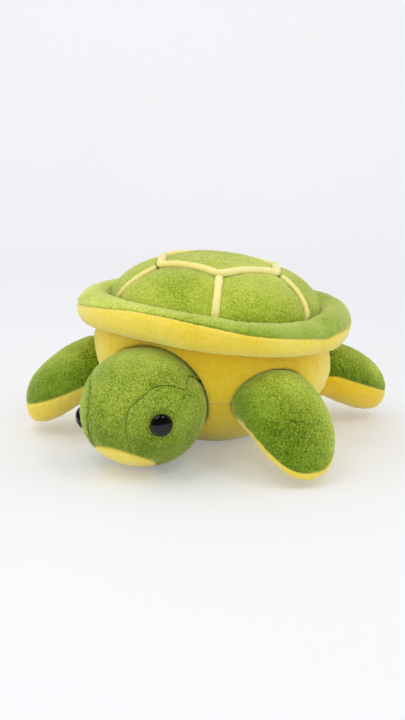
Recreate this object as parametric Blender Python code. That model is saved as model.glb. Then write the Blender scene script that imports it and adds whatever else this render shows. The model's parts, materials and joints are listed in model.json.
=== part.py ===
"""A plush toy turtle, modelled as the pieces that are cut, sewn, stuffed and pushed together.

Metres, +Z up. The turtle faces -Y and its left is +X. The origin is on the floor, under the
middle of the toy's box. Each fabric panel is a thin closed slab, and each pocket of stuffing
is a solid. A turn is an angle about the upright axis, from the front towards the toy's left.
"""

import math
from collections import namedtuple

import bmesh
import bpy
from mathutils import Matrix, Vector

# Fabric and fits
PLUSH = 0.0020  # plush with its pile pressed flat
SEAM_GAP = 0.0003  # between the edges of two panels sewn together
FILL_GAP = 0.0006  # between a panel's back and the stuffing behind it
JOINT_GAP = 0.0008  # round a flipper's root, where it turns in the body
CUT_OVERRUN = 0.0040  # how far a cutter runs past what it cuts
WELD = 0.000001  # points closer than this are one point

# Shell
SHELL_HEIGHT = 0.0797  # of the seam plane's middle above the floor
SHELL_SHIFT = 0.0020  # of the shell and body to the left of the neck
SHELL_PITCH = math.radians(3.2)  # front edge up
SHELL_LEAN = math.radians(3.8)  # left edge down
SHELL_SAG = 0.0060  # of the rim's edge below the seam plane, where it hangs lowest
SHELL_SAG_TURN = math.radians(-70)
SHELL_DIP = 0.0030  # a second, smaller sag, by the left front flipper
SHELL_DIP_TURN = math.radians(60)
DOME_RADIUS = 0.0640
DOME_RISE = 0.0325
DOME_SLANT_SHARE = 0.022  # how much taller the dome is over its rear foot, and lower over its front
DOME_FOOT = math.radians(86)  # where the dome's panels end, as an angle from its top
SIDE_PUFF = 0.0018  # how far a side panel swells between its seams
TOP_PUFF = 0.0008
CREST_HALF_LENGTH = 0.0368  # the top panel's six sides, from its middle to its front edge
CREST_HALF_WIDTH = 0.0390
CREST_EDGE = 0.0392  # length of its front edge
FOOT_TURN_FRONT = math.radians(33)  # where the front strips of piping reach the rim
DOME_TWIST = math.radians(-5.5)  # of the dome's foot from its top panel

# Piping
RING_PIPING_RADIUS = 0.0019
STRIP_PIPING_RADIUS = 0.0017
PIPING_LIFT = 0.0004  # of the piping's middle over the panels' seam
CORNER_REACH_SHARE = 1.2  # a bent tube's corner is this much further out than its radius
CORNER_SHARE_LIMIT = 0.5  # a tube's corner is never stretched past one over this

# Rim
RIM_HALF_WIDTH = 0.0099
RIM_RISE = 0.0078
RIM_CURL = 0.0045  # how much higher the rim rises where it curls up most
RIM_CURL_TURN = math.radians(125)
RIM_FLAT = 0.0024  # how much lower it rises where it is pressed flattest
RIM_FLAT_TURN = math.radians(62)
RIM_PUFF = 0.0018  # how much higher it rises where it is stuffed fullest
RIM_PUFF_TURN = math.radians(-80)
RIM_DROP = 0.0123
RIM_WRAP = math.radians(150)  # how far the underside wraps from the rim's widest line to the body
RIM_ROLL = math.radians(40)  # how far the seam is rolled up over the widest line at the front
RIM_ROLL_TURN = math.radians(3)

# Body
BODY_RADIUS_SHARE = 1.153  # of the dome's radius
BODY_RADIUS = DOME_RADIUS * BODY_RADIUS_SHARE
BODY_SEAM_HEIGHT = 0.0370
BAND_TOP_DROP = 0.0071  # the side band's top edge, under the shell's seam plane
BELLY_RADIUS_SHARES = (0.0, 0.30, 0.45, 0.60, 0.73, 0.84, 0.92, 0.97)
BELLY_HEIGHT_SHARES = (0.0, 0.0, 0.09, 0.235, 0.40, 0.59, 0.79, 1.0)
BAND_RADIUS_SHARES = (0.97, 0.993, 1.0, 0.988, 0.955, 0.918, 0.893)
BAND_HEIGHT_SHARES = (0.0, 0.22, 0.46, 0.67, 0.83, 0.93, 1.0)

# Head
HEAD_REACH_SHARE = 1.057  # of the body's radius, from the body's middle to the head's
HEAD_REACH = BODY_RADIUS * HEAD_REACH_SHARE
HEAD_HEIGHT = 0.0338
HEAD_BACK_RADIUS = 0.0332
HEAD_HALF_WIDTH = 0.0351
HEAD_FRONT_LENGTH = 0.0386
HEAD_HALF_HEIGHT = 0.0334
ROUND_BACK_SHARE = 0.10  # behind this share of its length the head is round about its width
GUSSET_NOSE = math.radians(20.5)  # half the centre panel's angle, between the eyes
GUSSET_CROWN = math.radians(54)
GUSSET_NECK = math.radians(25)
GUSSET_LINES = [math.radians(angle) for angle in (15, 72, 115, 215)]  # it widens, then narrows
CHIN_LINE = math.radians(-56)  # the chin panel's middle, under the nose
CHIN_SPREAD = math.radians(30)

# Eyes
EYE_TURN_LEFT = math.radians(49)
EYE_TURN_RIGHT = math.radians(63)  # set by hand, further round than the left one
EYE_LINE_LEFT = math.radians(0.4)  # over the head's middle
EYE_LINE_RIGHT = math.radians(-13)
EYE_RADIUS = 0.0060
EYE_RISE = 0.0038
EYE_LIFT = 0.0003
SHANK_RADIUS = 0.0025
SHANK_LENGTH = 0.0100
WASHER_RADIUS = 0.0070
WASHER_THICKNESS = 0.0018
WASHER_DEPTH = 0.0041  # of its outer face under the head's surface
WASHER_BORE_GAP = 0.0003

# Neck thread
NECK_THREAD_RADIUS = 0.0006
NECK_THREAD_SPREAD = math.radians(34)  # the loop, as an angle from the back of the head
NECK_TURN_GAP = 0.0004  # more room behind the head, which is wider than it is round

# Flippers
Flipper = namedtuple(
    "Flipper",
    "turn hinge_reach hinge_height reach root_radius half_width tip_height under_share drop_power seam_drop",
)
FRONT_TURN = math.radians(57)
FRONT_HINGE_SHARE = 1.030  # of the body's radius
FRONT_HINGE_REACH = BODY_RADIUS * FRONT_HINGE_SHARE
FRONT_HINGE_HEIGHT = 0.0385
FRONT_REACH = 0.0395  # from the hinge to the tip
FRONT_ROOT_RADIUS = 0.0190
FRONT_HALF_WIDTH = 0.0255
FRONT_TIP_HEIGHT = 0.0090
FRONT_UNDER_SHARE = 0.62  # how thick its underside is at the tip, beside its top
FRONT_DROP_POWER = 1.4  # how late along its length it bends down
FRONT_SEAM_DROP = math.radians(18)  # of the side seam at the root, under the widest line
RIGHT_TIP_HEIGHT = 0.0188  # of the right front flipper, which is stuffed fuller
RIGHT_UNDER_SHARE = 1.15
RIGHT_DROP_POWER = 1.0
REAR_TURN = math.radians(136)
REAR_HINGE_SHARE = 1.0435
REAR_HINGE_REACH = BODY_RADIUS * REAR_HINGE_SHARE
REAR_HINGE_HEIGHT = 0.0375
REAR_REACH = 0.0449
REAR_ROOT_RADIUS = 0.0185
REAR_HALF_WIDTH = 0.0235
REAR_TIP_HEIGHT = 0.0192
REAR_UNDER_SHARE = 1.15
REAR_DROP_POWER = 1.05
REAR_SEAM_DROP = math.radians(2)
FRONT_FLIPPER = Flipper(
    FRONT_TURN, FRONT_HINGE_REACH, FRONT_HINGE_HEIGHT, FRONT_REACH, FRONT_ROOT_RADIUS,
    FRONT_HALF_WIDTH, FRONT_TIP_HEIGHT, FRONT_UNDER_SHARE, FRONT_DROP_POWER, FRONT_SEAM_DROP,
)
REAR_FLIPPER = Flipper(
    REAR_TURN, REAR_HINGE_REACH, REAR_HINGE_HEIGHT, REAR_REACH, REAR_ROOT_RADIUS,
    REAR_HALF_WIDTH, REAR_TIP_HEIGHT, REAR_UNDER_SHARE, REAR_DROP_POWER, REAR_SEAM_DROP,
)
RIGHT_FLIPPER = FRONT_FLIPPER._replace(
    tip_height=RIGHT_TIP_HEIGHT, under_share=RIGHT_UNDER_SHARE, drop_power=RIGHT_DROP_POWER
)
FLIPPERS = (
    ("front_left", 1, FRONT_FLIPPER),
    ("front_right", -1, RIGHT_FLIPPER),
    ("rear_left", 1, REAR_FLIPPER),
    ("rear_right", -1, REAR_FLIPPER),
)
HINGE_LEAN = math.radians(2)  # the flippers' roots on the left sit lower, as the shell does
FLIPPER_FLARE_SHARE = 0.12
FLIPPER_PLUMP_SHARE = 0.32
FLIPPER_TIP_POWER = 0.8  # below 1 the tip is blunter than an ellipse

# Looks
SHARP_ANGLE = math.radians(40)
GREEN_PLUSH = ((0.42, 0.47, 0.07), 0.92)  # colour and roughness
YELLOW_PLUSH = ((0.80, 0.58, 0.14), 0.92)
PALE_PIPING = ((0.86, 0.77, 0.40), 0.85)
WHITE_STUFFING = ((0.85, 0.85, 0.82), 0.95)
BLACK_PLASTIC = ((0.01, 0.01, 0.01), 0.12)
WHITE_PLASTIC = ((0.80, 0.80, 0.78), 0.45)
GREEN_THREAD = ((0.38, 0.43, 0.08), 0.80)

# Counts
ROUND_COUNT = 32
RIM_COUNT = 6
CREST_COUNT = 4  # steps along each of the top panel's edges
CREST_RINGS = 3
SIDE_COLUMNS = 6
SIDE_ROWS = 4
DOME_RINGS = 6
TUBE_SIDES = 6
STRIP_STEPS = 5
HEAD_AROUND = 20
HEAD_RINGS = 5
GUSSET_ROWS = 18
GUSSET_COLUMNS = 4
CHIN_CHEEK_COUNT = 6
CHIN_RINGS = 3
EYE_SIDES = 16
EYE_RINGS = 5
THREAD_COUNT = 24
ROOT_ROWS = 4
FLIPPER_ROWS = 7
FLIPPER_COLUMNS = 8
CUTTER_SIDES = 24

QUARTER = math.pi / 2
CREST_TURNS = (
    math.atan2(CREST_EDGE / 2, CREST_HALF_LENGTH),
    QUARTER,
    math.pi - math.atan2(CREST_EDGE / 2, CREST_HALF_LENGTH),
)
CREST_REACHES = (
    math.hypot(CREST_EDGE / 2, CREST_HALF_LENGTH),
    CREST_HALF_WIDTH,
    math.hypot(CREST_EDGE / 2, CREST_HALF_LENGTH),
)
FOOT_TURNS = (FOOT_TURN_FRONT, QUARTER, CREST_TURNS[-1])
CREST_NAMES = ("front_left", "side_left", "rear_left", "rear_right", "side_right", "front_right")
CREST_SIDES = len(CREST_NAMES)
SIDE_NAMES = ("front", "front_left", "rear_left", "rear", "rear_right", "front_right")
LAST_CORNER = CREST_SIDES - 1  # the corner where the front panel begins

RIM_RADIUS = DOME_RADIUS + FILL_GAP + RIM_HALF_WIDTH
SEAM_TURN = SEAM_GAP / HEAD_BACK_RADIUS
NECK_GAP = 2 * (NECK_THREAD_RADIUS + SEAM_GAP)
FACET_MARGIN = 1 / math.cos(math.pi / CUTTER_SIDES) ** 2  # keeps a faceted ball's flats at its radius
HEAD_MIDDLE = Vector((0, -HEAD_REACH, HEAD_HEIGHT))
SHELL_FRAME = (
    Matrix.Translation((SHELL_SHIFT, 0, SHELL_HEIGHT))
    @ Matrix.Rotation(SHELL_LEAN, 4, "Y")
    @ Matrix.Rotation(-SHELL_PITCH, 4, "X")
)


def mix(start, end, share):
    return start + (end - start) * share


def ease(share):
    held = min(max(share, 0.0), 1.0)
    return held * held * (3.0 - 2.0 * held)


def steps(count):
    """Shares from 0 to 1 in count equal steps."""
    return [index / count for index in range(count + 1)]


def polar(radius, turn, height):
    return Vector((radius * math.sin(turn), -radius * math.cos(turn), height))


def facing(turn, middle):
    """1 where a turn meets the middle, falling softly to 0 a quarter turn to either side."""
    return max(math.cos(turn - middle), 0.0) ** 2


def settled(radius, turn, height):
    """A point of the shell in its own frame, with the sag that grows towards the rim."""
    share = (radius / (RIM_RADIUS + RIM_HALF_WIDTH)) ** 2
    sag = SHELL_SAG * facing(turn, SHELL_SAG_TURN) + SHELL_DIP * facing(turn, SHELL_DIP_TURN)
    return polar(radius, turn, height - sag * share)


def clear_scene():
    for thing in list(bpy.data.objects):
        bpy.data.objects.remove(thing)


def make_material(name, look):
    colour, roughness = look
    material = bpy.data.materials.new(name)
    material.use_nodes = True
    shader = material.node_tree.nodes["Principled BSDF"]
    shader.inputs["Base Color"].default_value = (*colour, 1.0)
    shader.inputs["Roughness"].default_value = roughness
    shader.inputs["Metallic"].default_value = 0.0
    material.diffuse_color = (*colour, 1.0)
    return material


def make_empty(name, parent=None, matrix=None):
    empty = bpy.data.objects.new(name, None)
    bpy.context.collection.objects.link(empty)
    empty.parent = parent
    if matrix is not None:
        empty.matrix_local = matrix
    return empty


def close_end(mesh, ring):
    """Closes a ring of an even number of points with a ladder of faces."""
    last = len(ring) - 1
    for index in range(len(ring) // 2 - 1):
        mesh.faces.new((ring[index], ring[index + 1], ring[last - index - 1], ring[last - index]))


def make_piece(name, rings, material, parent, looped=False):
    """One closed body through rings of points. A ring whose points meet closes to a tip or an edge."""
    built = bmesh.new()
    made = [[built.verts.new(point) for point in ring] for ring in rings]
    if looped:
        made.append(made[0])
    for ring, following in zip(made, made[1:]):
        for here in range(len(ring)):
            there = (here + 1) % len(ring)
            built.faces.new((ring[here], ring[there], following[there], following[here]))
    if not looped:
        close_end(built, made[0])
        close_end(built, made[-1])
    bmesh.ops.remove_doubles(built, verts=built.verts, dist=WELD)
    bmesh.ops.recalc_face_normals(built, faces=built.faces)
    mesh = bpy.data.meshes.new(name)
    built.to_mesh(mesh)
    built.free()
    mesh.shade_smooth()
    mesh.set_sharp_from_angle(angle=SHARP_ANGLE)
    mesh.materials.append(material)
    return place_mesh(name, mesh, parent)


def place_mesh(name, mesh, parent):
    piece = bpy.data.objects.new(name, mesh)
    bpy.context.collection.objects.link(piece)
    piece.parent = parent
    return piece


def make_panel(name, outer_rows, inner_rows, material, parent):
    """A slab between rows on its face and the same rows on its back."""
    rings = [outer + inner[::-1] for outer, inner in zip(outer_rows, inner_rows)]
    return make_piece(name, rings, material, parent)


def revolve(outline, count, place):
    """Rings round the upright axis, one for each (radius, height) of the outline."""
    return [
        [place(radius, math.tau * index / count, height) for index in range(count)]
        for radius, height in outline
    ]


def inset(outline, depth):
    """Moves an outline that runs out and up from the axis inwards by depth."""
    moved = []
    for index, (radius, height) in enumerate(outline):
        before = outline[max(index - 1, 0)]
        after = outline[min(index + 1, len(outline) - 1)]
        run = after[0] - before[0]
        rise = after[1] - before[1]
        length = math.hypot(run, rise)
        moved.append((max(radius - depth * rise / length, 0.0), height + depth * run / length))
    return moved


def cut(piece, cutter):
    boolean = piece.modifiers.new("cut_" + cutter.name, "BOOLEAN")
    boolean.operation = "DIFFERENCE"
    boolean.solver = "EXACT"
    boolean.object = cutter


def hide_cutter(cutter):
    cutter.hide_render = True
    cutter.display_type = "WIRE"
    return cutter


# Shell dome
def turn_round(index, turns_of_half):
    """The turn of a corner, counted from the front left round by the rear, from those of one half."""
    side = index % CREST_SIDES
    whole_turns = index // CREST_SIDES * math.tau
    if side < len(turns_of_half):
        return turns_of_half[side] + whole_turns
    return math.tau - turns_of_half[CREST_SIDES - 1 - side] + whole_turns


def crest_corner(index):
    """Turn and reach of a corner of the top panel."""
    side = index % CREST_SIDES
    return turn_round(index, CREST_TURNS), CREST_REACHES[min(side, CREST_SIDES - 1 - side)]


def foot_turn(index):
    return turn_round(index, FOOT_TURNS) + DOME_TWIST


def crest_reach(index, turn):
    """Distance from the middle to the straight edge that starts at a corner, at a turn."""
    start = polar(crest_corner(index)[1], crest_corner(index)[0], 0)
    end = polar(crest_corner(index + 1)[1], crest_corner(index + 1)[0], 0)
    edge = end - start
    out = polar(1, turn, 0)
    return (start.x * edge.y - start.y * edge.x) / (out.x * edge.y - out.y * edge.x)


def slanted(radius, turn, height):
    """A point of the dome or its filling, which stand taller towards the rear."""
    share = DOME_SLANT_SHARE * radius / DOME_RADIUS
    return settled(radius, turn, height * (1 - share * math.cos(turn)))


def dome_place(reach, turn, lift):
    """A point of the dome at a plan reach and turn, lifted along the dome's normal."""
    down = math.asin(min(reach / DOME_RADIUS, 1.0))
    normal = polar(math.sin(down) / DOME_RADIUS, turn, math.cos(down) / DOME_RISE).normalized()
    place = slanted(DOME_RADIUS * math.sin(down), turn, DOME_RISE * math.cos(down))
    return place + normal * lift


def top_panel_rows(lift, puff):
    """Rings from the middle of the top panel to its six edges."""
    rows = []
    for share in steps(CREST_RINGS):
        row = []
        for index in range(CREST_SIDES):
            start, end = crest_corner(index)[0], crest_corner(index + 1)[0]
            for part in steps(CREST_COUNT)[:-1]:
                turn = mix(start, end, part)
                reach = (crest_reach(index, turn) - RING_PIPING_RADIUS - SEAM_GAP) * share
                row.append(dome_place(reach, turn, lift + puff * (1 - share * share)))
        rows.append(row)
    return rows


def side_panel_rows(index, lift, puff):
    """Rows down one side panel, from the top panel's edge to the rim."""
    first, last = crest_corner(index)[0], crest_corner(index + 1)[0]
    side = STRIP_PIPING_RADIUS + SEAM_GAP
    rows = []
    for down_share in steps(SIDE_ROWS):
        row = []
        start = mix(first, foot_turn(index), down_share)
        end = mix(last, foot_turn(index + 1), down_share)
        for across_share in steps(SIDE_COLUMNS):
            edge = crest_reach(index, mix(first, last, across_share)) + RING_PIPING_RADIUS + side
            reach = DOME_RADIUS * math.sin(mix(math.asin(edge / DOME_RADIUS), DOME_FOOT, down_share))
            turn = mix(start + side / reach, end - side / reach, across_share)
            swell = math.sqrt(math.sin(math.pi * across_share) * math.sin(math.pi * down_share) + WELD)
            row.append(dome_place(reach, turn, lift + puff * swell))
        rows.append(row)
    return rows


def tube_rings(path, normals, radius, sides, looped):
    """Rings of a tube along a path, square to it, or along the bisector at a corner."""
    rings = []
    count = len(path)
    for index in range(count):
        before = path[index - 1] if looped or index else path[index]
        after = path[(index + 1) % count] if looped or index + 1 < count else path[index]
        along = (after - before).normalized()
        arriving = (path[index] - before).normalized() if path[index] != before else along
        up = (normals[index] - along * normals[index].dot(along)).normalized()
        across = along.cross(up)
        stretch = 1 / max(arriving.dot(along), CORNER_SHARE_LIMIT)
        rings.append([
            path[index]
            + across * (radius * stretch * math.cos(math.tau * (side + 0.5) / sides))
            + up * (radius * math.sin(math.tau * (side + 0.5) / sides))
            for side in range(sides)
        ])
    return rings


def dome_normal(reach, turn):
    return (dome_place(reach, turn, 1) - dome_place(reach, turn, 0)).normalized()


def make_piping_ring(material, parent):
    path, normals = [], []
    for index in range(CREST_SIDES):
        start, end = crest_corner(index)[0], crest_corner(index + 1)[0]
        for part in steps(CREST_COUNT)[:-1]:
            turn = mix(start, end, part)
            reach = crest_reach(index, turn)
            path.append(dome_place(reach, turn, PIPING_LIFT))
            normals.append(dome_normal(reach, turn))
    rings = tube_rings(path, normals, RING_PIPING_RADIUS, TUBE_SIDES, looped=True)
    make_piece("shell_piping_ring", rings, material, parent, looped=True)


def make_piping_strip(index, material, parent):
    corner_turn, corner_reach = crest_corner(index)
    begin = corner_reach + RING_PIPING_RADIUS * CORNER_REACH_SHARE + SEAM_GAP
    begin_down = math.asin(begin / DOME_RADIUS)
    path, normals = [], []
    for share in steps(STRIP_STEPS):
        reach = DOME_RADIUS * math.sin(mix(begin_down, DOME_FOOT, share))
        turn = mix(corner_turn, foot_turn(index), share)
        inward = (STRIP_PIPING_RADIUS + PIPING_LIFT) * ease(2 * share - 1)
        path.append(dome_place(reach, turn, PIPING_LIFT - inward))
        normals.append(dome_normal(reach, turn))
    rings = tube_rings(path, normals, STRIP_PIPING_RADIUS, TUBE_SIDES, looped=False)
    make_piece("shell_piping_" + CREST_NAMES[index], rings, material, parent)


def make_shell(parent, plush, piping, fill):
    outer = top_panel_rows(0, TOP_PUFF)
    inner = top_panel_rows(-PLUSH, TOP_PUFF)
    make_piece("shell_top_panel", outer + inner[::-1], plush, parent)
    for index, name in enumerate(SIDE_NAMES):
        outer = side_panel_rows(index + LAST_CORNER, 0, SIDE_PUFF)
        inner = side_panel_rows(index + LAST_CORNER, -PLUSH, SIDE_PUFF)
        make_panel(f"shell_{name}_panel", outer, inner, plush, parent)
    make_piping_ring(piping, parent)
    for index in range(len(CREST_NAMES)):
        make_piping_strip(index, piping, parent)
    depth = PLUSH + FILL_GAP
    rise = DOME_RISE - depth
    radius = DOME_RADIUS - depth - STRIP_PIPING_RADIUS
    outline = [(0, 0)]
    for share in steps(DOME_RINGS):
        outline.append((radius * math.cos(QUARTER * share), rise * math.sin(QUARTER * share)))
    make_piece("shell_stuffing", revolve(outline, ROUND_COUNT, slanted), fill, parent)


# Rim
def rim_ring(share, start, end, depth):
    """A ring round the shell, at a share of the way round the rim's own tube from its outer seam."""
    ring = []
    for index in range(ROUND_COUNT):
        turn = math.tau * index / ROUND_COUNT
        roll = RIM_ROLL * facing(turn, RIM_ROLL_TURN) ** 2
        angle = mix(roll + start, end, share)
        rise = RIM_RISE + RIM_CURL * facing(turn, RIM_CURL_TURN) + RIM_PUFF * facing(turn, RIM_PUFF_TURN)
        rise -= RIM_FLAT * facing(turn, RIM_FLAT_TURN)
        height = (rise if angle > 0 else RIM_DROP) - depth
        out = RIM_RADIUS + (RIM_HALF_WIDTH - depth) * math.cos(angle)
        ring.append(settled(out, turn, height * math.sin(angle)))
    return ring


def rim_rings(start, end, depth):
    return [rim_ring(share, start, end, depth) for share in steps(RIM_COUNT)]


def make_rim(parent, top_plush, under_plush, fill):
    half_gap = SEAM_GAP / 2 / (RIM_RISE - PLUSH)
    for name, start, end, plush in (
        ("rim_top", half_gap, math.pi, top_plush),
        ("rim_underside", -half_gap, -RIM_WRAP, under_plush),
    ):
        rings = rim_rings(start, end, 0) + rim_rings(start, end, PLUSH)[::-1]
        make_piece(name, rings, plush, parent, looped=True)
    depth = PLUSH + FILL_GAP
    rings = rim_rings(0, math.pi, depth) + rim_rings(0, -math.pi, depth)[1:-1][::-1]
    make_piece("rim_stuffing", rings, fill, parent, looped=True)


# Body
def body_place(radius, turn, height):
    """A point of the body, upright at the side seam and in the shell's plane at the rim."""
    upright = polar(radius, turn, height) + Vector((SHELL_SHIFT, 0, 0))
    tilted = SHELL_FRAME @ settled(radius, turn, height - SHELL_HEIGHT)
    top = SHELL_HEIGHT - RIM_DROP
    return upright.lerp(tilted, ease((height - BODY_SEAM_HEIGHT) / (top - BODY_SEAM_HEIGHT)))


def belly_outline():
    return [
        (BODY_RADIUS * radius_share, BODY_SEAM_HEIGHT * height_share)
        for radius_share, height_share in zip(BELLY_RADIUS_SHARES, BELLY_HEIGHT_SHARES)
    ]


def band_outline():
    rise = SHELL_HEIGHT - BAND_TOP_DROP - BODY_SEAM_HEIGHT
    return [
        (BODY_RADIUS * radius_share, BODY_SEAM_HEIGHT + rise * height_share)
        for radius_share, height_share in zip(BAND_RADIUS_SHARES, BAND_HEIGHT_SHARES)
    ]


def shifted(outline, lift):
    return [(radius, height + lift) for radius, height in outline]


def make_body(parent, plush, fill, cutters):
    belly, band = belly_outline(), band_outline()
    whole = belly + band[1:]
    back = inset(whole, PLUSH)
    turn_over = len(belly)
    pieces = []
    outline = belly + back[:turn_over][::-1]
    pieces.append(make_piece("belly_panel", revolve(outline, ROUND_COUNT, body_place), plush, parent))
    outline = shifted(band + back[turn_over - 1:][::-1], SEAM_GAP)
    rings = revolve(outline, ROUND_COUNT, body_place)
    pieces.append(make_piece("body_side_band", rings, plush, parent, looped=True))
    inside = inset(whole, PLUSH + FILL_GAP)
    lid = SHELL_HEIGHT - FILL_GAP
    outline = inside + [(DOME_RADIUS - PLUSH - RIM_HALF_WIDTH / 2, lid), (0, lid)]
    pieces.append(make_piece("body_stuffing", revolve(outline, ROUND_COUNT, body_place), fill, parent))
    for piece in pieces:
        for cutter in cutters:
            cut(piece, cutter)


def make_ball_cutter(name, half_width, radius, parent):
    """A ball, stretched along X, whose poles are on X and whose flats lie outside the true ball."""
    built = bmesh.new()
    sizes = {"u_segments": CUTTER_SIDES, "v_segments": CUTTER_SIDES // 2, "radius": FACET_MARGIN}
    bmesh.ops.create_uvsphere(built, **sizes)
    bmesh.ops.rotate(built, verts=built.verts, matrix=Matrix.Rotation(QUARTER, 3, "Y"))
    bmesh.ops.scale(built, verts=built.verts, vec=(half_width, radius, radius))
    mesh = bpy.data.meshes.new(name)
    built.to_mesh(mesh)
    built.free()
    return hide_cutter(place_mesh(name, mesh, parent))


# Head
def head_direction(line, side):
    """The line runs round over the nose and crown, and the side out to the cheeks."""
    return Vector((
        math.sin(side),
        -math.cos(side) * math.cos(line),
        math.cos(side) * math.sin(line),
    ))


def head_sizes(out):
    """Half the head's width, length and height, which change from its round back to its nose."""
    share = ease((ROUND_BACK_SHARE - out.y) / (1 + ROUND_BACK_SHARE))
    length = mix(HEAD_BACK_RADIUS, HEAD_FRONT_LENGTH, share)
    height = mix(HEAD_BACK_RADIUS, HEAD_HALF_HEIGHT, share)
    return Vector((HEAD_HALF_WIDTH, length, height))


def head_place(line, side, depth):
    """A point at a depth under the head's surface, from the head's middle."""
    out = head_direction(line, side)
    sizes = head_sizes(out)
    return Vector([part * (size - depth) for part, size in zip(out, sizes)])


def head_normal(line, side):
    out = head_direction(line, side)
    return Vector([part / size for part, size in zip(out, head_sizes(out))]).normalized()


def gusset_half(line):
    """Half the centre panel's angle at a line over the head."""
    widen, wide, narrow, end = GUSSET_LINES
    half = mix(GUSSET_NOSE, GUSSET_CROWN, ease((line - widen) / (wide - widen)))
    return mix(half, GUSSET_NECK, ease((line - narrow) / (end - narrow)))


def gusset_line(share, across):
    """A line on the centre panel, from its front end to its back end, which follow the chin's edge."""
    start = math.acos(math.cos(CHIN_SPREAD) / math.cos(across * GUSSET_NOSE))
    end = math.acos(math.cos(CHIN_SPREAD) / math.cos(across * GUSSET_NECK))
    return CHIN_LINE + mix(start + SEAM_TURN, math.tau - end - SEAM_TURN, share)


def chin_edge_turn(half):
    """Turn about the chin panel's middle at which its edge is a given angle out to the side."""
    return math.asin(math.sin(half) / math.sin(CHIN_SPREAD))


def chin_direction(spread, turn):
    """Line and side of a point at an angle from the chin panel's middle and a turn about it."""
    line = CHIN_LINE + math.atan2(math.sin(spread) * math.cos(turn), math.cos(spread))
    return line, math.asin(math.sin(spread) * math.sin(turn))


def chin_cheek_turns():
    """Turns along the edge that the chin panel shares with a side panel, corner to corner."""
    front = chin_edge_turn(GUSSET_NOSE)
    back = math.pi - chin_edge_turn(GUSSET_NECK)
    return [mix(front, back, share) for share in steps(CHIN_CHEEK_COUNT)]


def side_panel_edge():
    """Line and side of each point round a head side panel: over the crown, then back under the cheek."""
    edge = []
    for share in steps(GUSSET_ROWS):
        line = gusset_line(share, 1)
        edge.append((line, gusset_half(line) + SEAM_TURN / 2))
    for turn in chin_cheek_turns()[-2:0:-1]:
        edge.append(chin_direction(CHIN_SPREAD + SEAM_TURN / 2, turn))
    return edge


def make_head_side(name, sign, plush, parent, hole):
    rings = []
    for depth, shares in ((0, steps(HEAD_RINGS)[::-1]), (PLUSH, steps(HEAD_RINGS))):
        for share in shares:
            edge = side_panel_edge()
            rings.append([head_place(line, mix(side, QUARTER, share) * sign, depth) for line, side in edge])
    panel = make_piece(name, rings, plush, parent)
    cut(panel, hole)


def make_head_gusset(plush, parent):
    rows = {0: [], PLUSH: []}
    for share in steps(GUSSET_ROWS):
        half = gusset_half(gusset_line(share, 1)) - SEAM_TURN / 2
        for depth, panel_rows in rows.items():
            panel_rows.append([
                head_place(gusset_line(share, mix(-1, 1, across)), mix(-half, half, across), depth)
                for across in steps(GUSSET_COLUMNS)
            ])
    make_panel("head_centre_panel", rows[0], rows[PLUSH], plush, parent)


def chin_turns():
    """Turns round the chin panel's edge, matching the points of the panels that it is sewn to."""
    cheek = chin_cheek_turns()
    nose_sides = [mix(-GUSSET_NOSE, GUSSET_NOSE, share) for share in steps(GUSSET_COLUMNS)]
    neck_sides = [mix(GUSSET_NECK, -GUSSET_NECK, share) for share in steps(GUSSET_COLUMNS)]
    turns = [chin_edge_turn(side) for side in nose_sides[:-1]]
    turns += cheek[:-1]
    turns += [math.pi - chin_edge_turn(side) for side in neck_sides[:-1]]
    turns += [math.tau - turn for turn in cheek[:0:-1]]
    return turns


def make_chin(plush, parent):
    rings = []
    for depth, shares in ((0, steps(CHIN_RINGS)), (PLUSH, steps(CHIN_RINGS)[::-1])):
        for share in shares:
            spread = (CHIN_SPREAD - SEAM_TURN) * share
            rings.append([head_place(*chin_direction(spread, turn), depth) for turn in chin_turns()])
    make_piece("chin_panel", rings, plush, parent)


def make_head_fill(fill, parent, pockets):
    flats = HEAD_BACK_RADIUS * (1 - math.cos(QUARTER / HEAD_RINGS / 2))
    depth = PLUSH + FILL_GAP + flats
    rings = []
    for share in steps(HEAD_RINGS * 2):
        side = mix(-QUARTER, QUARTER, share)
        rings.append([
            head_place(math.tau * index / HEAD_AROUND, side, depth) for index in range(HEAD_AROUND)
        ])
    stuffing = make_piece("head_stuffing", rings, fill, parent)
    for pocket in pockets:
        cut(stuffing, pocket)


def eye_frame(turn, rise):
    """A frame on the head's surface at an eye, with +Z pointing straight out of it."""
    side = math.asin(math.sin(turn) * math.cos(rise))
    line = math.atan2(math.sin(rise), math.cos(turn) * math.cos(rise))
    facing = head_normal(line, side).to_track_quat("Z", "Y")
    return Matrix.Translation(head_place(line, side, 0)) @ facing.to_matrix().to_4x4()


def make_eye(name, black, parent):
    outline = [(0, -SHANK_LENGTH), (SHANK_RADIUS, -SHANK_LENGTH), (SHANK_RADIUS, EYE_LIFT)]
    for share in steps(EYE_RINGS):
        angle = QUARTER * share
        outline.append((EYE_RADIUS * math.cos(angle), EYE_LIFT + EYE_RISE * math.sin(angle)))
    make_piece(name, revolve(outline, EYE_SIDES, polar), black, parent)


def make_washer(name, plastic, parent):
    bore = SHANK_RADIUS + WASHER_BORE_GAP
    back = -WASHER_DEPTH - WASHER_THICKNESS
    outline = [(bore, back), (WASHER_RADIUS, back), (WASHER_RADIUS, -WASHER_DEPTH), (bore, -WASHER_DEPTH)]
    make_piece(name, revolve(outline, EYE_SIDES, polar), plastic, parent, looped=True)


def make_bore_cutter(name, radius, depth, parent):
    outline = [(0, -depth), (radius, -depth), (radius, CUT_OVERRUN), (0, CUT_OVERRUN)]
    return hide_cutter(make_piece(name, revolve(outline, EYE_SIDES, polar), None, parent))


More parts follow.
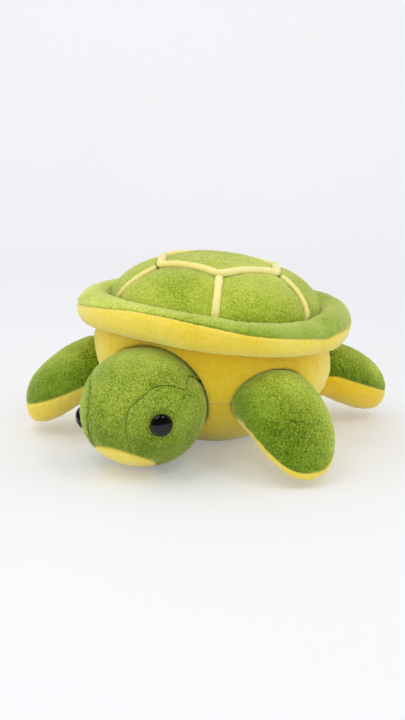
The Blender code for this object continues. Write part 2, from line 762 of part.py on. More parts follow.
def make_head(parent, green, yellow, fill, black, plastic):
    pockets = []
    for label, sign, turn, rise in (
        ("left", 1, EYE_TURN_LEFT, EYE_LINE_LEFT),
        ("right", -1, -EYE_TURN_RIGHT, EYE_LINE_RIGHT),
    ):
        frame = make_empty("eye_frame_" + label, parent, eye_frame(turn, rise))
        make_eye("eye_" + label, black, frame)
        make_washer("eye_washer_" + label, plastic, frame)
        hole_depth = WASHER_DEPTH + WASHER_THICKNESS
        hole = make_bore_cutter("eye_hole_" + label, SHANK_RADIUS + WASHER_BORE_GAP, hole_depth, frame)
        pocket_radius = WASHER_RADIUS + FILL_GAP
        pocket_depth = SHANK_LENGTH + FILL_GAP
        pockets.append(make_bore_cutter("eye_pocket_" + label, pocket_radius, pocket_depth, frame))
        make_head_side("head_side_panel_" + label, sign, green, parent, hole)
    make_head_gusset(green, parent)
    make_chin(yellow, parent)
    make_head_fill(fill, parent, pockets)


def make_neck_thread(thread, parent):
    """The loop of thread that sews the head to the body, in the gap between the two."""
    ball = HEAD_BACK_RADIUS + NECK_GAP / 2
    half_width = (HEAD_HALF_WIDTH + NECK_GAP / 2) * math.sin(NECK_THREAD_SPREAD)
    half_height = ball * math.sin(NECK_THREAD_SPREAD)
    back = ball * math.cos(NECK_THREAD_SPREAD)
    turns = [math.tau * index / THREAD_COUNT for index in range(THREAD_COUNT)]
    path = [Vector((half_width * math.cos(turn), back, half_height * math.sin(turn))) for turn in turns]
    normals = [point.normalized() for point in path]
    rings = tube_rings(path, normals, NECK_THREAD_RADIUS, TUBE_SIDES, looped=True)
    make_piece("neck_seam_thread", rings, thread, parent, looped=True)


# Flippers
def hinge_place(flipper, sign):
    place = polar(flipper.hinge_reach, flipper.turn * sign, flipper.hinge_height)
    return place - Vector((0, 0, place.x * math.tan(HINGE_LEAN)))


def flipper_row(flipper, sign, along, depth, half, lift):
    """Points across half a flipper, 0 for its top or 1 for its underside.

    Along runs from -1 at the root, through 0 at the hinge, to 1 at the tip.
    """
    drop = hinge_place(flipper, sign).z - flipper.tip_height
    angle = QUARTER * along
    length = flipper.reach if along > 0 else flipper.root_radius
    share = max(math.sin(angle), 0.0)
    slim = max(math.cos(angle), 0.0) ** (FLIPPER_TIP_POWER if along > 0 else 1)
    half_width = (flipper.half_width - depth) * (1 + FLIPPER_FLARE_SHARE * share) * slim
    half_height = (flipper.root_radius - depth) * (1 + FLIPPER_PLUMP_SHARE * share) * slim
    under_height = half_height * mix(1, flipper.under_share, share)
    seam = -flipper.seam_drop * (1 - share)
    seams = (seam, math.pi - seam, math.tau + seam)
    row = []
    for across in steps(FLIPPER_COLUMNS):
        around = mix(seams[half], seams[half + 1], across)
        row.append(Vector((
            half_width * math.cos(around),
            -(length - depth) * math.sin(angle),
            max(half_height * math.sin(around), 0) + min(under_height * math.sin(around), 0)
            - drop * share ** flipper.drop_power + lift,
        )))
    return row


def flipper_alongs():
    root = [share - 1 for share in steps(ROOT_ROWS)]
    return root + steps(FLIPPER_ROWS)[1:]


def make_flipper(name, flipper, sign, parent, green, yellow, fill):
    half_gap = SEAM_GAP / 2
    alongs = flipper_alongs()
    for label, half, lift, plush in (("top", 0, half_gap, green), ("bottom", 1, -half_gap, yellow)):
        outer = [flipper_row(flipper, sign, along, 0, half, lift) for along in alongs]
        inner = [flipper_row(flipper, sign, along, PLUSH, half, lift) for along in alongs]
        make_panel(f"{name}_flipper_{label}", outer, inner, plush, parent)
    depth = PLUSH + FILL_GAP
    rings = []
    for along in alongs:
        top = flipper_row(flipper, sign, along, depth, 0, 0)
        bottom = flipper_row(flipper, sign, along, depth, 1, 0)
        rings.append(top[:-1] + bottom[:-1])
    make_piece(f"{name}_flipper_stuffing", rings, fill, parent)


def flipper_frame(flipper, sign):
    """The hinge of a flipper, with -Y pointing out along it and X along the hinge's axis."""
    return Matrix.Translation(hinge_place(flipper, sign)) @ Matrix.Rotation(flipper.turn * sign, 4, "Z")


def centre_over_origin(root):
    """Moves the whole toy level so that the middle of its box is over the origin."""
    bpy.context.view_layer.update()
    graph = bpy.context.evaluated_depsgraph_get()
    low = Vector((math.inf, math.inf))
    high = -low
    for thing in bpy.data.objects:
        if thing.type == "MESH" and not thing.hide_render:
            shape = thing.evaluated_get(graph)
            for vertex in shape.data.vertices:
                point = shape.matrix_world @ vertex.co
                low = Vector((min(low.x, point.x), min(low.y, point.y)))
                high = Vector((max(high.x, point.x), max(high.y, point.y)))
    middle = (low + high) / 2
    root.location = (-middle.x, -middle.y, 0)
    bpy.context.view_layer.update()


def build_turtle():
    clear_scene()
    green = make_material("green_plush", GREEN_PLUSH)
    yellow = make_material("yellow_plush", YELLOW_PLUSH)
    piping = make_material("pale_piping", PALE_PIPING)
    fill = make_material("white_stuffing", WHITE_STUFFING)
    black = make_material("black_plastic", BLACK_PLASTIC)
    plastic = make_material("white_plastic", WHITE_PLASTIC)
    thread = make_material("green_thread", GREEN_THREAD)

    root = make_empty("turtle")
    shell = make_empty("shell_frame", root, SHELL_FRAME)
    make_shell(shell, green, piping, fill)
    make_rim(shell, green, yellow, fill)

    neck = make_empty("neck_joint", root, Matrix.Translation(HEAD_MIDDLE))
    ball = HEAD_BACK_RADIUS + NECK_GAP + NECK_TURN_GAP
    cutters = [make_ball_cutter("neck_dent", HEAD_HALF_WIDTH + NECK_GAP, ball, neck)]
    for name, sign, flipper in FLIPPERS:
        hinge = make_empty(name + "_flipper_hinge", root, flipper_frame(flipper, sign))
        make_flipper(name, flipper, sign, hinge, green, yellow, fill)
        half_width = flipper.half_width + JOINT_GAP
        radius = flipper.root_radius + JOINT_GAP
        cutters.append(make_ball_cutter(name + "_dent", half_width, radius, hinge))
    make_body(root, yellow, fill, cutters)
    make_neck_thread(thread, neck)
    make_head(neck, green, yellow, fill, black, plastic)
    centre_over_origin(root)


build_turtle()
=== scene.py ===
"""A plush toy turtle in pile fabric, with sewn seams, piping and domed eyes.

Metres, +Z up, the turtle faces -Y. The soft pieces follow the same rules as their plain solids,
with finer points, rolled seams, puckers and the clumps of the pile worked into their surfaces.
"""

import json
import math
from collections import namedtuple

import bpy
import numpy as np
from mathutils import Matrix, Vector, kdtree


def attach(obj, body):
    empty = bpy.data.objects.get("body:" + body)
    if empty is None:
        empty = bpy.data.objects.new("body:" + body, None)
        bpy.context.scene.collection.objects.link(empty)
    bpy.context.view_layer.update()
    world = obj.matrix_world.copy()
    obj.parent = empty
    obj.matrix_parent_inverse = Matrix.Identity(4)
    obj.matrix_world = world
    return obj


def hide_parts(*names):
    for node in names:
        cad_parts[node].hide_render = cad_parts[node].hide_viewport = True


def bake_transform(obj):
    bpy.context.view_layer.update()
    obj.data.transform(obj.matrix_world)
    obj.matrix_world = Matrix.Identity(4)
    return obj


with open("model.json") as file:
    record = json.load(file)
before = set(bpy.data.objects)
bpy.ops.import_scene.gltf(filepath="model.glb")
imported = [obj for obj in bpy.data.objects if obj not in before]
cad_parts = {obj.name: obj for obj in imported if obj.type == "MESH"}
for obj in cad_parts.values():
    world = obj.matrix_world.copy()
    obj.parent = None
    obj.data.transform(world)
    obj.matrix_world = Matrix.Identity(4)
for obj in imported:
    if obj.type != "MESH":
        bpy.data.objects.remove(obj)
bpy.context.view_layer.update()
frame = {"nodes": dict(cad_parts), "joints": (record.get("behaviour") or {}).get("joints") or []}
JOINTS = {joint["name"]: joint for joint in frame["joints"]}

# Fabric
PLUSH = 0.0020
FILL_GAP = 0.0006
SEAM_GAP = 0.00004
HUG_GAP = 0.0002  # between a soft piece and the root that it hugs
TURN_GAP = (0.0008, 0.0014, 0.0010)  # what the head's turn and nod need behind it besides
PILE_DEPTH = 0.00038
PILE_CLUMP = 0.0014
PILE_TUFT = 0.0010
SEAM_ROLL = 0.0010
SEAM_WIDTH = 0.0024
PUCKER_DEPTH = 0.00035
PUCKER_LENGTH = 0.0034
PUCKER_REACH = 0.0050
WELD = 0.0000001
TOUCH = WELD * 10
CLUMP_SHARE = 0.6  # of the pile's relief, beside its tufts

# Noise
SEED_STEP = 17.31
HASH_STEPS = np.array((127.1, 311.7, 74.7))
HASH_SCALE = 43758.5453
CLUMP_SEED, TUFT_SEED, LUMP_SEED, WAVE_SEED, PUCKER_SEED, PIPING_SEED = 1, 2, 3, 4, 5, 7

# Shell
SHELL_HEIGHT = 0.0797
SHELL_SHIFT = 0.0020
SHELL_PITCH = math.radians(3.2)
SHELL_LEAN = math.radians(3.8)
SHELL_SAG = 0.0060
SHELL_SAG_TURN = math.radians(-70)
SHELL_DIP = 0.0030
SHELL_DIP_TURN = math.radians(60)
DOME_RADIUS = 0.0640
DOME_RISE = 0.0325
DOME_SLANT_SHARE = 0.022
DOME_FOOT = math.radians(88)
SIDE_PUFF = 0.0024
TOP_PUFF = 0.0008
CREST_HALF_LENGTH = 0.0368
CREST_HALF_WIDTH = 0.0390
CREST_EDGE = 0.0392
FOOT_TURN_FRONT = math.radians(33)
DOME_TWIST = math.radians(-5.5)
RING_PIPING_RADIUS = 0.0025
STRIP_PIPING_RADIUS = 0.0020
PIPING_LIFT = 0.0006
PIPING_SINK = 0.0007  # how far the panels run in under the piping

# Rim
RIM_HALF_WIDTH = 0.0099
RIM_RISE = 0.0078
RIM_CURL = 0.0045
RIM_CURL_TURN = math.radians(125)
RIM_FLAT = 0.0024
RIM_FLAT_TURN = math.radians(62)
RIM_PUFF = 0.0018
RIM_PUFF_TURN = math.radians(-80)
RIM_DROP = 0.0123
RIM_WRAP = math.radians(150)
RIM_ROLL = math.radians(40)
RIM_ROLL_TURN = math.radians(3)
RIM_WAVE = 0.0007
RIM_RADIUS = DOME_RADIUS + FILL_GAP + RIM_HALF_WIDTH

# Body
BODY_RADIUS_SHARE = 1.153  # of the dome's radius
BODY_RADIUS = DOME_RADIUS * BODY_RADIUS_SHARE
BODY_SEAM_HEIGHT = 0.0370
BAND_TOP_DROP = 0.0071
BELLY_RADIUS_SHARES = (0.0, 0.30, 0.45, 0.60, 0.73, 0.84, 0.92, 0.97)
BELLY_HEIGHT_SHARES = (0.0, 0.0, 0.09, 0.235, 0.40, 0.59, 0.79, 1.0)
BAND_RADIUS_SHARES = (0.97, 0.993, 1.0, 0.988, 0.955, 0.918, 0.893)
BAND_HEIGHT_SHARES = (0.0, 0.22, 0.46, 0.67, 0.83, 0.93, 1.0)

# Head
HEAD_REACH_SHARE = 1.057  # of the body's radius, from the body's middle to the head's
HEAD_REACH = BODY_RADIUS * HEAD_REACH_SHARE
HEAD_HEIGHT = 0.0338
HEAD_BACK_RADIUS = 0.0332
HEAD_HALF_WIDTH = 0.0351
HEAD_FRONT_LENGTH = 0.0386
HEAD_HALF_HEIGHT = 0.0334
ROUND_BACK_SHARE = 0.10
GUSSET_NOSE = math.radians(20.5)
GUSSET_CROWN = math.radians(54)
GUSSET_NECK = math.radians(25)
GUSSET_LINES = [math.radians(angle) for angle in (15, 72, 115, 215)]
WANDER_DEGREES = ((30, 3), (47, -4), (70, 7), (100, -3))
WANDERS = [(math.radians(middle), math.radians(far)) for middle, far in WANDER_DEGREES]
WANDER_WIDTH = math.radians(11)
CHIN_LINE = math.radians(-56)
CHIN_SPREAD = math.radians(30)
SEAM_TURN = SEAM_GAP / HEAD_BACK_RADIUS
EYES = {"left": (math.radians(49), math.radians(0.4)), "right": (math.radians(-63), math.radians(-13))}
EYE_RADIUS = 0.0062
EYE_RISE = 0.0038
EYE_SINK = 0.0014
EYE_PRESS = 0.0018  # how far the eye presses the plush in
EYE_PRESS_REACH = 0.0100
SHANK_RADIUS = 0.0025
SHANK_LENGTH = 0.0100
NECK_THREAD_RADIUS = 0.0006
NECK_THREAD_SPREAD = math.radians(34)
NECK_GAP = 0.0018

# Flippers
Flipper = namedtuple(
    "Flipper", "turn reach root_radius half_width tip_height under_share drop_power seam_drop"
)
FRONT_LEFT = Flipper(math.radians(57), 0.0395, 0.0190, 0.0255, 0.0090, 0.62, 1.4, math.radians(18))
REAR_LEFT = Flipper(math.radians(136), 0.0449, 0.0185, 0.0235, 0.0192, 1.15, 1.05, math.radians(2))
FLIPPERS = {
    "front_left": FRONT_LEFT,
    "front_right": FRONT_LEFT._replace(
        turn=-FRONT_LEFT.turn, tip_height=0.0188, under_share=1.15, drop_power=1.0
    ),
    "rear_left": REAR_LEFT,
    "rear_right": REAR_LEFT._replace(turn=-REAR_LEFT.turn),
}
FLIPPER_TIP_POWER = 0.8
FLIPPER_FLARE_SHARE = 0.12
FLIPPER_PLUMP_SHARE = 0.32

LUMP_DEPTH = 0.0006
LUMP_LENGTH = 0.019
BODY_ROLL = 0.0006
BODY_ROLL_WIDTH = 0.0016
HEAD_ROLL = 0.0012
HEAD_ROLL_WIDTH = 0.0019
FLIPPER_ROLL = 0.0012
CREASE_DEPTH = 0.0012
CREASE_SHARE = 0.07  # of a root's size, over which the body rolls in beside it
PIPING_UNEVEN = 0.07
PIPING_UNEVEN_LENGTH = 0.006
PIPING_PILE = 0.00016
STRIP_SHARES = {
    "front_left": 1.12, "side_left": 0.85, "rear_left": 0.9,
    "rear_right": 0.9, "side_right": 0.85, "front_right": 0.85,
}
RIM_WAVE_LENGTH = 0.020
RIM_SWAY = math.radians(7)  # of the rim's outer seam, up and down
RIM_FOLD_SHARE = 0.16
RIM_FOLD_TURN = math.radians(77)
RIM_FOLD_WIDTH = math.radians(5)
THREAD_TWIST = 0.16
THREAD_TURNS = 120
PIPING_SMOOTHING = 10

# Counts of points, along and across
CREST_EDGE_STEPS = 44
TOP_STEPS = 48
SIDE_STEPS = (50, 84)
DOME_FILL_STEPS = (24, 96)
RING_PIPING_STEPS = (40, 18)
STRIP_PIPING_STEPS = (52, 16)
RIM_STEPS = (38, 520)
RIM_FILL_STEPS = (16, 200)
BODY_STEPS = (8, 440)
GUSSET_STEPS = (210, 66)
CHEEK_STEPS = (70, 44)
CHIN_STEPS = (26, 150)
HEAD_FILL_STEPS = (40, 80)
EYE_STEPS = (20, 8, 64)
THREAD_STEPS = (240, 12)
FLIPPER_STEPS = (26, 60, 70)  # root, length, across
FLIPPER_FILL_STEPS = 28
SWEEP_STEPS = 24

# Looks
# Copies of one green pile, lighter or darker by part as painted light and shade: lightest on the rim and
# shell, which face the light from above, darkest on the head
HEAD_GREENS = ((0.05, 0.09, 0.002), (0.245, 0.345, 0.017), (0.48, 0.58, 0.090))
FLIPPER_GREENS = ((0.07, 0.12, 0.002), (0.32, 0.42, 0.019), (0.60, 0.70, 0.10))
SHELL_GREENS = ((0.19, 0.28, 0.006), (0.42, 0.53, 0.036), (0.64, 0.72, 0.13))
RIM_GREENS = ((0.36, 0.46, 0.018), (0.64, 0.73, 0.10), (0.84, 0.88, 0.26))
GREEN_TINT = (0.86, 1.0, 0.30)
SHELL_GREEN_TINT = (1.0, 0.98, 0.42)
REAR_YELLOWS = ((0.94, 0.60, 0.012), (0.98, 0.68, 0.028), (1.0, 0.77, 0.08))
PALE_YELLOWS = ((0.94, 0.66, 0.036), (0.99, 0.77, 0.090), (1.0, 0.85, 0.18))
YELLOW_TINT = (1.0, 1.0, 0.60)
PIPINGS = ((1.0, 0.80, 0.19), (1.0, 0.88, 0.31), (1.0, 0.95, 0.46))
PIPING_TINT = (1.0, 0.96, 0.74)
# Painted light and shade on the pile: the way towards the light, its change per metre, its two ends and
# what the colour keeps at the first, where the shade is deepest
# The head: painted shade, darker where it faces down
HEAD_PAINTED_SHADE = ((0.0, 0.0, 1.0), (0.0, 0.0, 0.0), -0.6, 0.5, (0.50, 0.62, 0.40))
# The flippers: painted shade, darker where they face forward and down
FLIPPER_PAINTED_SHADE = ((0.10, 0.60, 0.79), (0.0, 0.0, 0.0), -0.25, 0.70, (0.42, 0.56, 0.32))
# The rim: painted light and shade, lighter where it faces up and towards -X and -Y, and the further it lies
# that way
RIM_PAINTED_SHADE = ((-0.62, -0.33, 0.71), (-5.3, -2.8, 0.0), 0.0, 1.1, (0.48, 0.60, 0.35))
# The body: painted shade, darker where it faces the camera's side, lighter towards its flanks
BODY_PAINTED_SHADE = ((-0.47, 0.88, 0.0), (0.0, 0.0, 0.0), -1.0, -0.2, (0.88, 0.80, 0.34))
# Noises: scale, detail, roughness and how they are drawn out
BRUSHED = (24, 3, 0.6)
CLUMPS = (850, 2, 0.6)
FIBRES = (1700, 2, 0.6, (1.0, 1.0, 0.6))
PILE_WEIGHTS = (0.34, 0.33, 0.33)
PILE_STOPS = (0.40, 0.50, 0.60)
PILE_RELIEF_WEIGHTS = (0.6, 0.4)
PILE_RELIEF = 0.0010
PILE_ROUGHNESS = (0.98, 0.82)
GLOSS_ROUGHNESS = (0.04, 0.07)
GRAIN_STOPS = (0.3, 0.7)
FLOOR_DARK = (0.93, 0.93, 0.94)
FLOOR_LIGHT = (0.95, 0.95, 0.96)

# Camera and studio
CAMERA_TURN = math.radians(28.1)
CAMERA_REACH = 0.523
CAMERA_HEIGHT = 0.171
CAMERA_PITCH = math.radians(13.6)
CAMERA_YAW = 0.01
CAMERA_ROLL = math.radians(1.0)
CAMERA_LENS = 42.5
TARGET = Vector((0, 0, 0.05))
SWEEP_FRONT = 1.6
SWEEP_BACK = 0.9
SWEEP_BEND = 0.6
SWEEP_TOP = 2.4
SWEEP_SIDE = 2.5
WORLD_COLOUR = (0.96, 0.97, 1.0)
WORLD_SIDE = 1.0
WORLD_FRONT = 0.55
WORLD_LOW = 1.45  # the surround's share at the horizon
WORLD_HIGH = 0.75  # and overhead
WORLD_MIRRORED = 0.12  # the share of the surround that shows in a polished surface
LAMPS = (  # name, place, size, power
    ("top", (-0.30, -0.30, 1.05), 0.8, 1.9),
    ("pane_left", (-0.07, -0.43, 0.75), 0.12, 0.45),
    ("pane_right", (0.44, -0.10, 0.72), 0.14, 0.60),
)
FLOOR_GLOW = 0.26  # of what the camera sees of the floor, what is white whatever the shadow
BACKDROP_GLOW = 0.14  # what the backdrop adds towards its top
GLOW_START = 0.2  # how far behind the toy the backdrop's glow begins
WORLD_FRONT_SHARE = 0.8  # how squarely a direction faces the camera's side for the full WORLD_FRONT
SENSOR_HEIGHT = 36.0

QUARTER = math.pi / 2
CREST_TURN = math.atan2(CREST_EDGE / 2, CREST_HALF_LENGTH)
CREST_REACH = math.hypot(CREST_EDGE / 2, CREST_HALF_LENGTH)
CREST_TURNS = (CREST_TURN, QUARTER, math.pi - CREST_TURN)
CREST_REACHES = (CREST_REACH, CREST_HALF_WIDTH, CREST_REACH)
FOOT_TURNS = (FOOT_TURN_FRONT, QUARTER, CREST_TURNS[-1])
CREST_NAMES = ("front_left", "side_left", "rear_left", "rear_right", "side_right", "front_right")
CREST_SIDES = len(CREST_NAMES)
SIDE_NAMES = ("front", "front_left", "rear_left", "rear", "rear_right", "front_right")

HEAD_BACK = np.array((HEAD_HALF_WIDTH, HEAD_BACK_RADIUS, HEAD_BACK_RADIUS))
HEAD_MIDDLE = Vector(JOINTS["head_turn"]["pos_m"])
ROOT = HEAD_MIDDLE + Vector((0, HEAD_REACH, -HEAD_HEIGHT))
SHELL_FRAME = (
    Matrix.Translation(ROOT + Vector((SHELL_SHIFT, 0, SHELL_HEIGHT)))
    @ Matrix.Rotation(SHELL_LEAN, 4, "Y")
    @ Matrix.Rotation(-SHELL_PITCH, 4, "X")
)


def mix(start, end, share):
    return start + (end - start) * share


def ease(share):
    held = np.clip(share, 0.0, 1.0)
    return held * held * (3.0 - 2.0 * held)


def steps(count):
    return np.linspace(0.0, 1.0, count + 1)


def turns(count):
    return np.arange(count) * (math.tau / count)


def polar(radius, turn, height):
    radius, turn, height = np.broadcast_arrays(radius, turn, height)
    return np.stack((radius * np.sin(turn), -radius * np.cos(turn), height), -1)


def unit(vectors):
    return vectors / np.maximum(np.linalg.norm(vectors, axis=-1, keepdims=True), 1e-12)


def moved(matrix, points):
    grid = np.array(matrix)
    return points @ grid[:3, :3].T + grid[:3, 3]


def facing(turn, middle):
    return np.maximum(np.cos(turn - middle), 0.0) ** 2


def noise(points, size, seed):
    """Smooth noise from -1 to 1 that changes over a length of about size."""
    scaled = np.asarray(points) / size + seed * SEED_STEP
    base = np.floor(scaled)
    part = scaled - base
    part = part * part * (3 - 2 * part)
    total = 0
    for corner in np.ndindex(2, 2, 2):
        key = (base + corner) @ HASH_STEPS
        value = np.mod(np.sin(key) * HASH_SCALE, 1.0) * 2 - 1
        total = total + value * np.prod(np.where(corner, part, 1 - part), axis=-1)
    return total


# Meshes
def grid_normals(points, loop, hint):
    """Outward normals of a grid of points, rows by columns, away from the hint."""
    down = np.gradient(points, axis=0)
    if loop:
        across = (np.roll(points, -1, axis=1) - np.roll(points, 1, axis=1)) / 2
    else:
        across = np.gradient(points, axis=1)
    normals = np.cross(down, across)
    for row, nearest in ((0, 1), (-1, -2)):
        if np.ptp(points[row], axis=0).max() < TOUCH:
            normals[row] = normals[nearest].mean(axis=0)
    normals = unit(normals)
    if (normals * (points - hint)).sum() < 0:
        normals = -normals
    return normals


def edge_distance(points, edges):
    """Distance of each point to the nearest point of the edges."""
    joined = np.concatenate([edge.reshape(-1, 3) for edge in edges])
    tree = kdtree.KDTree(len(joined))
    for index, point in enumerate(joined):
        tree.insert(point, index)
    tree.balance()
    flat = points.reshape(-1, 3)
    return np.array([tree.find(point)[2] for point in flat]).reshape(points.shape[:-1])


def seam_roll(points, normals, edges, depth=SEAM_ROLL, width=SEAM_WIDTH):
    """Rolls the surface in towards its seams and gathers it into small puckers beside them."""
    away = edge_distance(points, edges)
    share = np.clip(away / width, 0.0, 1.0)
    drop = depth * (1 - np.sqrt(np.maximum(1 - (1 - share) ** 2, 0.0)))
    pucker = PUCKER_DEPTH * np.exp(-away / PUCKER_REACH) * noise(points, PUCKER_LENGTH, PUCKER_SEED)
    return points - normals * (drop + pucker)[..., None]


def pile(points, normals, depth=PILE_DEPTH):
    """Raises the clumps and tufts of the pile."""
    clumps = CLUMP_SHARE * noise(points, PILE_CLUMP, CLUMP_SEED)
    height = clumps + (1 - CLUMP_SHARE) * noise(points, PILE_TUFT, TUFT_SEED)
    return points + normals * (depth * height)[..., None]


def lumpy(points, normals):
    """Raises the slow lumps of the stuffing."""
    return points + normals * (LUMP_DEPTH * noise(points, LUMP_LENGTH, LUMP_SEED))[..., None]


def sheet_faces(rows, columns, loop, start=0, flip=False):
    index = start + np.arange(rows * columns).reshape(rows, columns)
    if loop:
        index = np.concatenate((index, index[:, :1]), axis=1)
    corners = (index[:-1, :-1], index[:-1, 1:], index[1:, 1:], index[1:, :-1])
    faces = np.stack(corners, -1).reshape(-1, 4)
    return faces[:, ::-1] if flip else faces


def wall_faces(outer, inner, loop):
    if loop:
        outer, inner = np.append(outer, outer[0]), np.append(inner, inner[0])
    return np.stack((outer[:-1], inner[:-1], inner[1:], outer[1:]), -1)


def make_slab(name, points, normals, material, loop=False, thickness=PLUSH):
    """One closed slab of fabric: its face, its back, and walls along its open edges."""
    rows, columns = points.shape[:2]
    size = rows * columns
    back = points - normals * thickness
    index = np.arange(size).reshape(rows, columns)
    faces = [sheet_faces(rows, columns, loop), sheet_faces(rows, columns, loop, size, True)]
    sides = [(index[0], loop), (index[-1][::-1], loop)]
    if not loop:
        sides += [(index[::-1, 0], False), (index[:, -1], False)]
    for side, side_loop in sides:
        if np.ptp(points.reshape(-1, 3)[side], axis=0).max() > TOUCH:
            faces.append(wall_faces(side, side + size, side_loop))
    every = np.concatenate((points.reshape(-1, 3), back.reshape(-1, 3)))
    return finish_mesh(name, every, np.concatenate(faces), material)


def make_solid(name, points, material, loop=True, ring=False):
    """One closed body through rings of points that meet in tips, or that run round in a ring."""
    rows, columns = points.shape[:2]
    if ring:
        points = np.concatenate((points, points[:1]))
        rows += 1
    return finish_mesh(name, points.reshape(-1, 3), sheet_faces(rows, columns, loop), material)


def finish_mesh(name, points, faces, material):
    """Welds points that meet, drops faces with no area, and turns the rest to face out."""
    keys = np.round(points / WELD).astype(np.int64)
    _, first, inverse = np.unique(keys, axis=0, return_index=True, return_inverse=True)
    inverse = inverse.reshape(-1)
    faces = inverse[faces]
    kept = []
    for face in faces.tolist():
        ring = [corner for place, corner in enumerate(face) if corner != face[place - 1]]
        if len(set(ring)) == len(ring) and len(ring) > 2:
            kept.append(ring)
    places = points[first]
    volume = 0.0
    for ring in kept:
        a, b, c = places[ring[0]], places[ring[1]], places[ring[2]]
        volume += a[0] * (b[1] * c[2] - b[2] * c[1])
        volume += a[1] * (b[2] * c[0] - b[0] * c[2])
        volume += a[2] * (b[0] * c[1] - b[1] * c[0])
    if volume < 0:
        kept = [ring[::-1] for ring in kept]
    mesh = bpy.data.meshes.new(name)
    mesh.from_pydata(places.tolist(), [], kept)
    mesh.materials.append(material)
    mesh.shade_smooth()
    piece = bpy.data.objects.new(name, mesh)
    bpy.context.collection.objects.link(piece)
    return piece


def dress(piece, body, node):
    """Puts a piece on its body in place of its plain solid."""
    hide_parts(node)
    if body is not None:
        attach(piece, body)
    return piece


# Shell dome
def settled(radius, turn, height):
    """A point of the shell in its own frame, with the sag that grows towards the rim."""
    share = (radius / (RIM_RADIUS + RIM_HALF_WIDTH)) ** 2
    sag = SHELL_SAG * facing(turn, SHELL_SAG_TURN) + SHELL_DIP * facing(turn, SHELL_DIP_TURN)
    return polar(radius, turn, height - sag * share)


def slanted(radius, turn, height):
    """Points of the dome or its filling, which stand taller towards the rear."""
    share = DOME_SLANT_SHARE * radius / DOME_RADIUS
    return settled(radius, turn, height * (1 - share * np.cos(turn)))


def turn_round(index, turns_of_half):
    side = index % CREST_SIDES
    whole_turns = index // CREST_SIDES * math.tau
    if side < len(turns_of_half):
        return turns_of_half[side] + whole_turns
    return math.tau - turns_of_half[CREST_SIDES - 1 - side] + whole_turns


def crest_corner(index):
    side = index % CREST_SIDES
    return turn_round(index, CREST_TURNS), CREST_REACHES[min(side, CREST_SIDES - 1 - side)]


def foot_turn(index):
    return turn_round(index, FOOT_TURNS) + DOME_TWIST


def crest_reach(index, turn):
    """Distance from the middle to the straight edge that starts at a corner, at each turn."""
    start = polar(crest_corner(index)[1], crest_corner(index)[0], 0.0)
    edge = polar(crest_corner(index + 1)[1], crest_corner(index + 1)[0], 0.0) - start
    out = polar(1.0, turn, 0.0)
    crossed = out[..., 0] * edge[1] - out[..., 1] * edge[0]
    return (start[0] * edge[1] - start[1] * edge[0]) / crossed


def dome_place(reach, turn, lift):
    """Points of the dome at a plan reach and turn, lifted along the dome's normal."""
    down = np.arcsin(np.clip(reach / DOME_RADIUS, 0.0, 1.0))
    down, turn, lift = np.broadcast_arrays(down, turn, lift)
    normal = unit(polar(np.sin(down) / DOME_RADIUS, turn, np.cos(down) / DOME_RISE))
    place = slanted(DOME_RADIUS * np.sin(down), turn, DOME_RISE * np.cos(down))
    return place + normal * lift[..., None]


def crest_line(count):
    """Turns round the top panel's six edges, and the reach of the edge at each."""
    line, reach = [], []
    for index in range(CREST_SIDES):
        part = mix(crest_corner(index)[0], crest_corner(index + 1)[0], steps(count)[:-1])
        line.append(part)
        reach.append(crest_reach(index, part))
    return np.concatenate(line), np.concatenate(reach)


def soft_panel(
    node, points, hint, edges, material, body,
    loop=False, roll=SEAM_ROLL, width=SEAM_WIDTH, presses=(),
):
    """A fabric panel with rolled seams, the stuffing's lumps, the pile, and presses where eyes sit."""
    normals = grid_normals(points, loop, hint)
    points = lumpy(points, normals)
    for middle in presses:
        away = np.linalg.norm(points - middle, axis=-1)
        points = points - normals * (EYE_PRESS * np.exp(-((away / EYE_PRESS_REACH) ** 4)))[..., None]
    points = seam_roll(points, normals, edges(points), roll, width)
    piece = make_slab(node + "_soft", pile(points, normals), normals, material, loop)
    return dress(piece, body, node)


def stuff(node, points, material, body, ring=False):
    """A stuffing inside its panels."""
    piece = make_solid(node + "_soft", points, material, ring=ring)
    return dress(piece, body, node)


def all_edges(points):
    return [points[0], points[-1], points[:, 0], points[:, -1]]


def end_edges(points):
    return [points[0], points[-1]]


def first_edge(points):
    return [points[0]]


def last_edge(points):
    return [points[-1]]


def side_edges(points):
    return [points[:, 0], points[:, -1]]


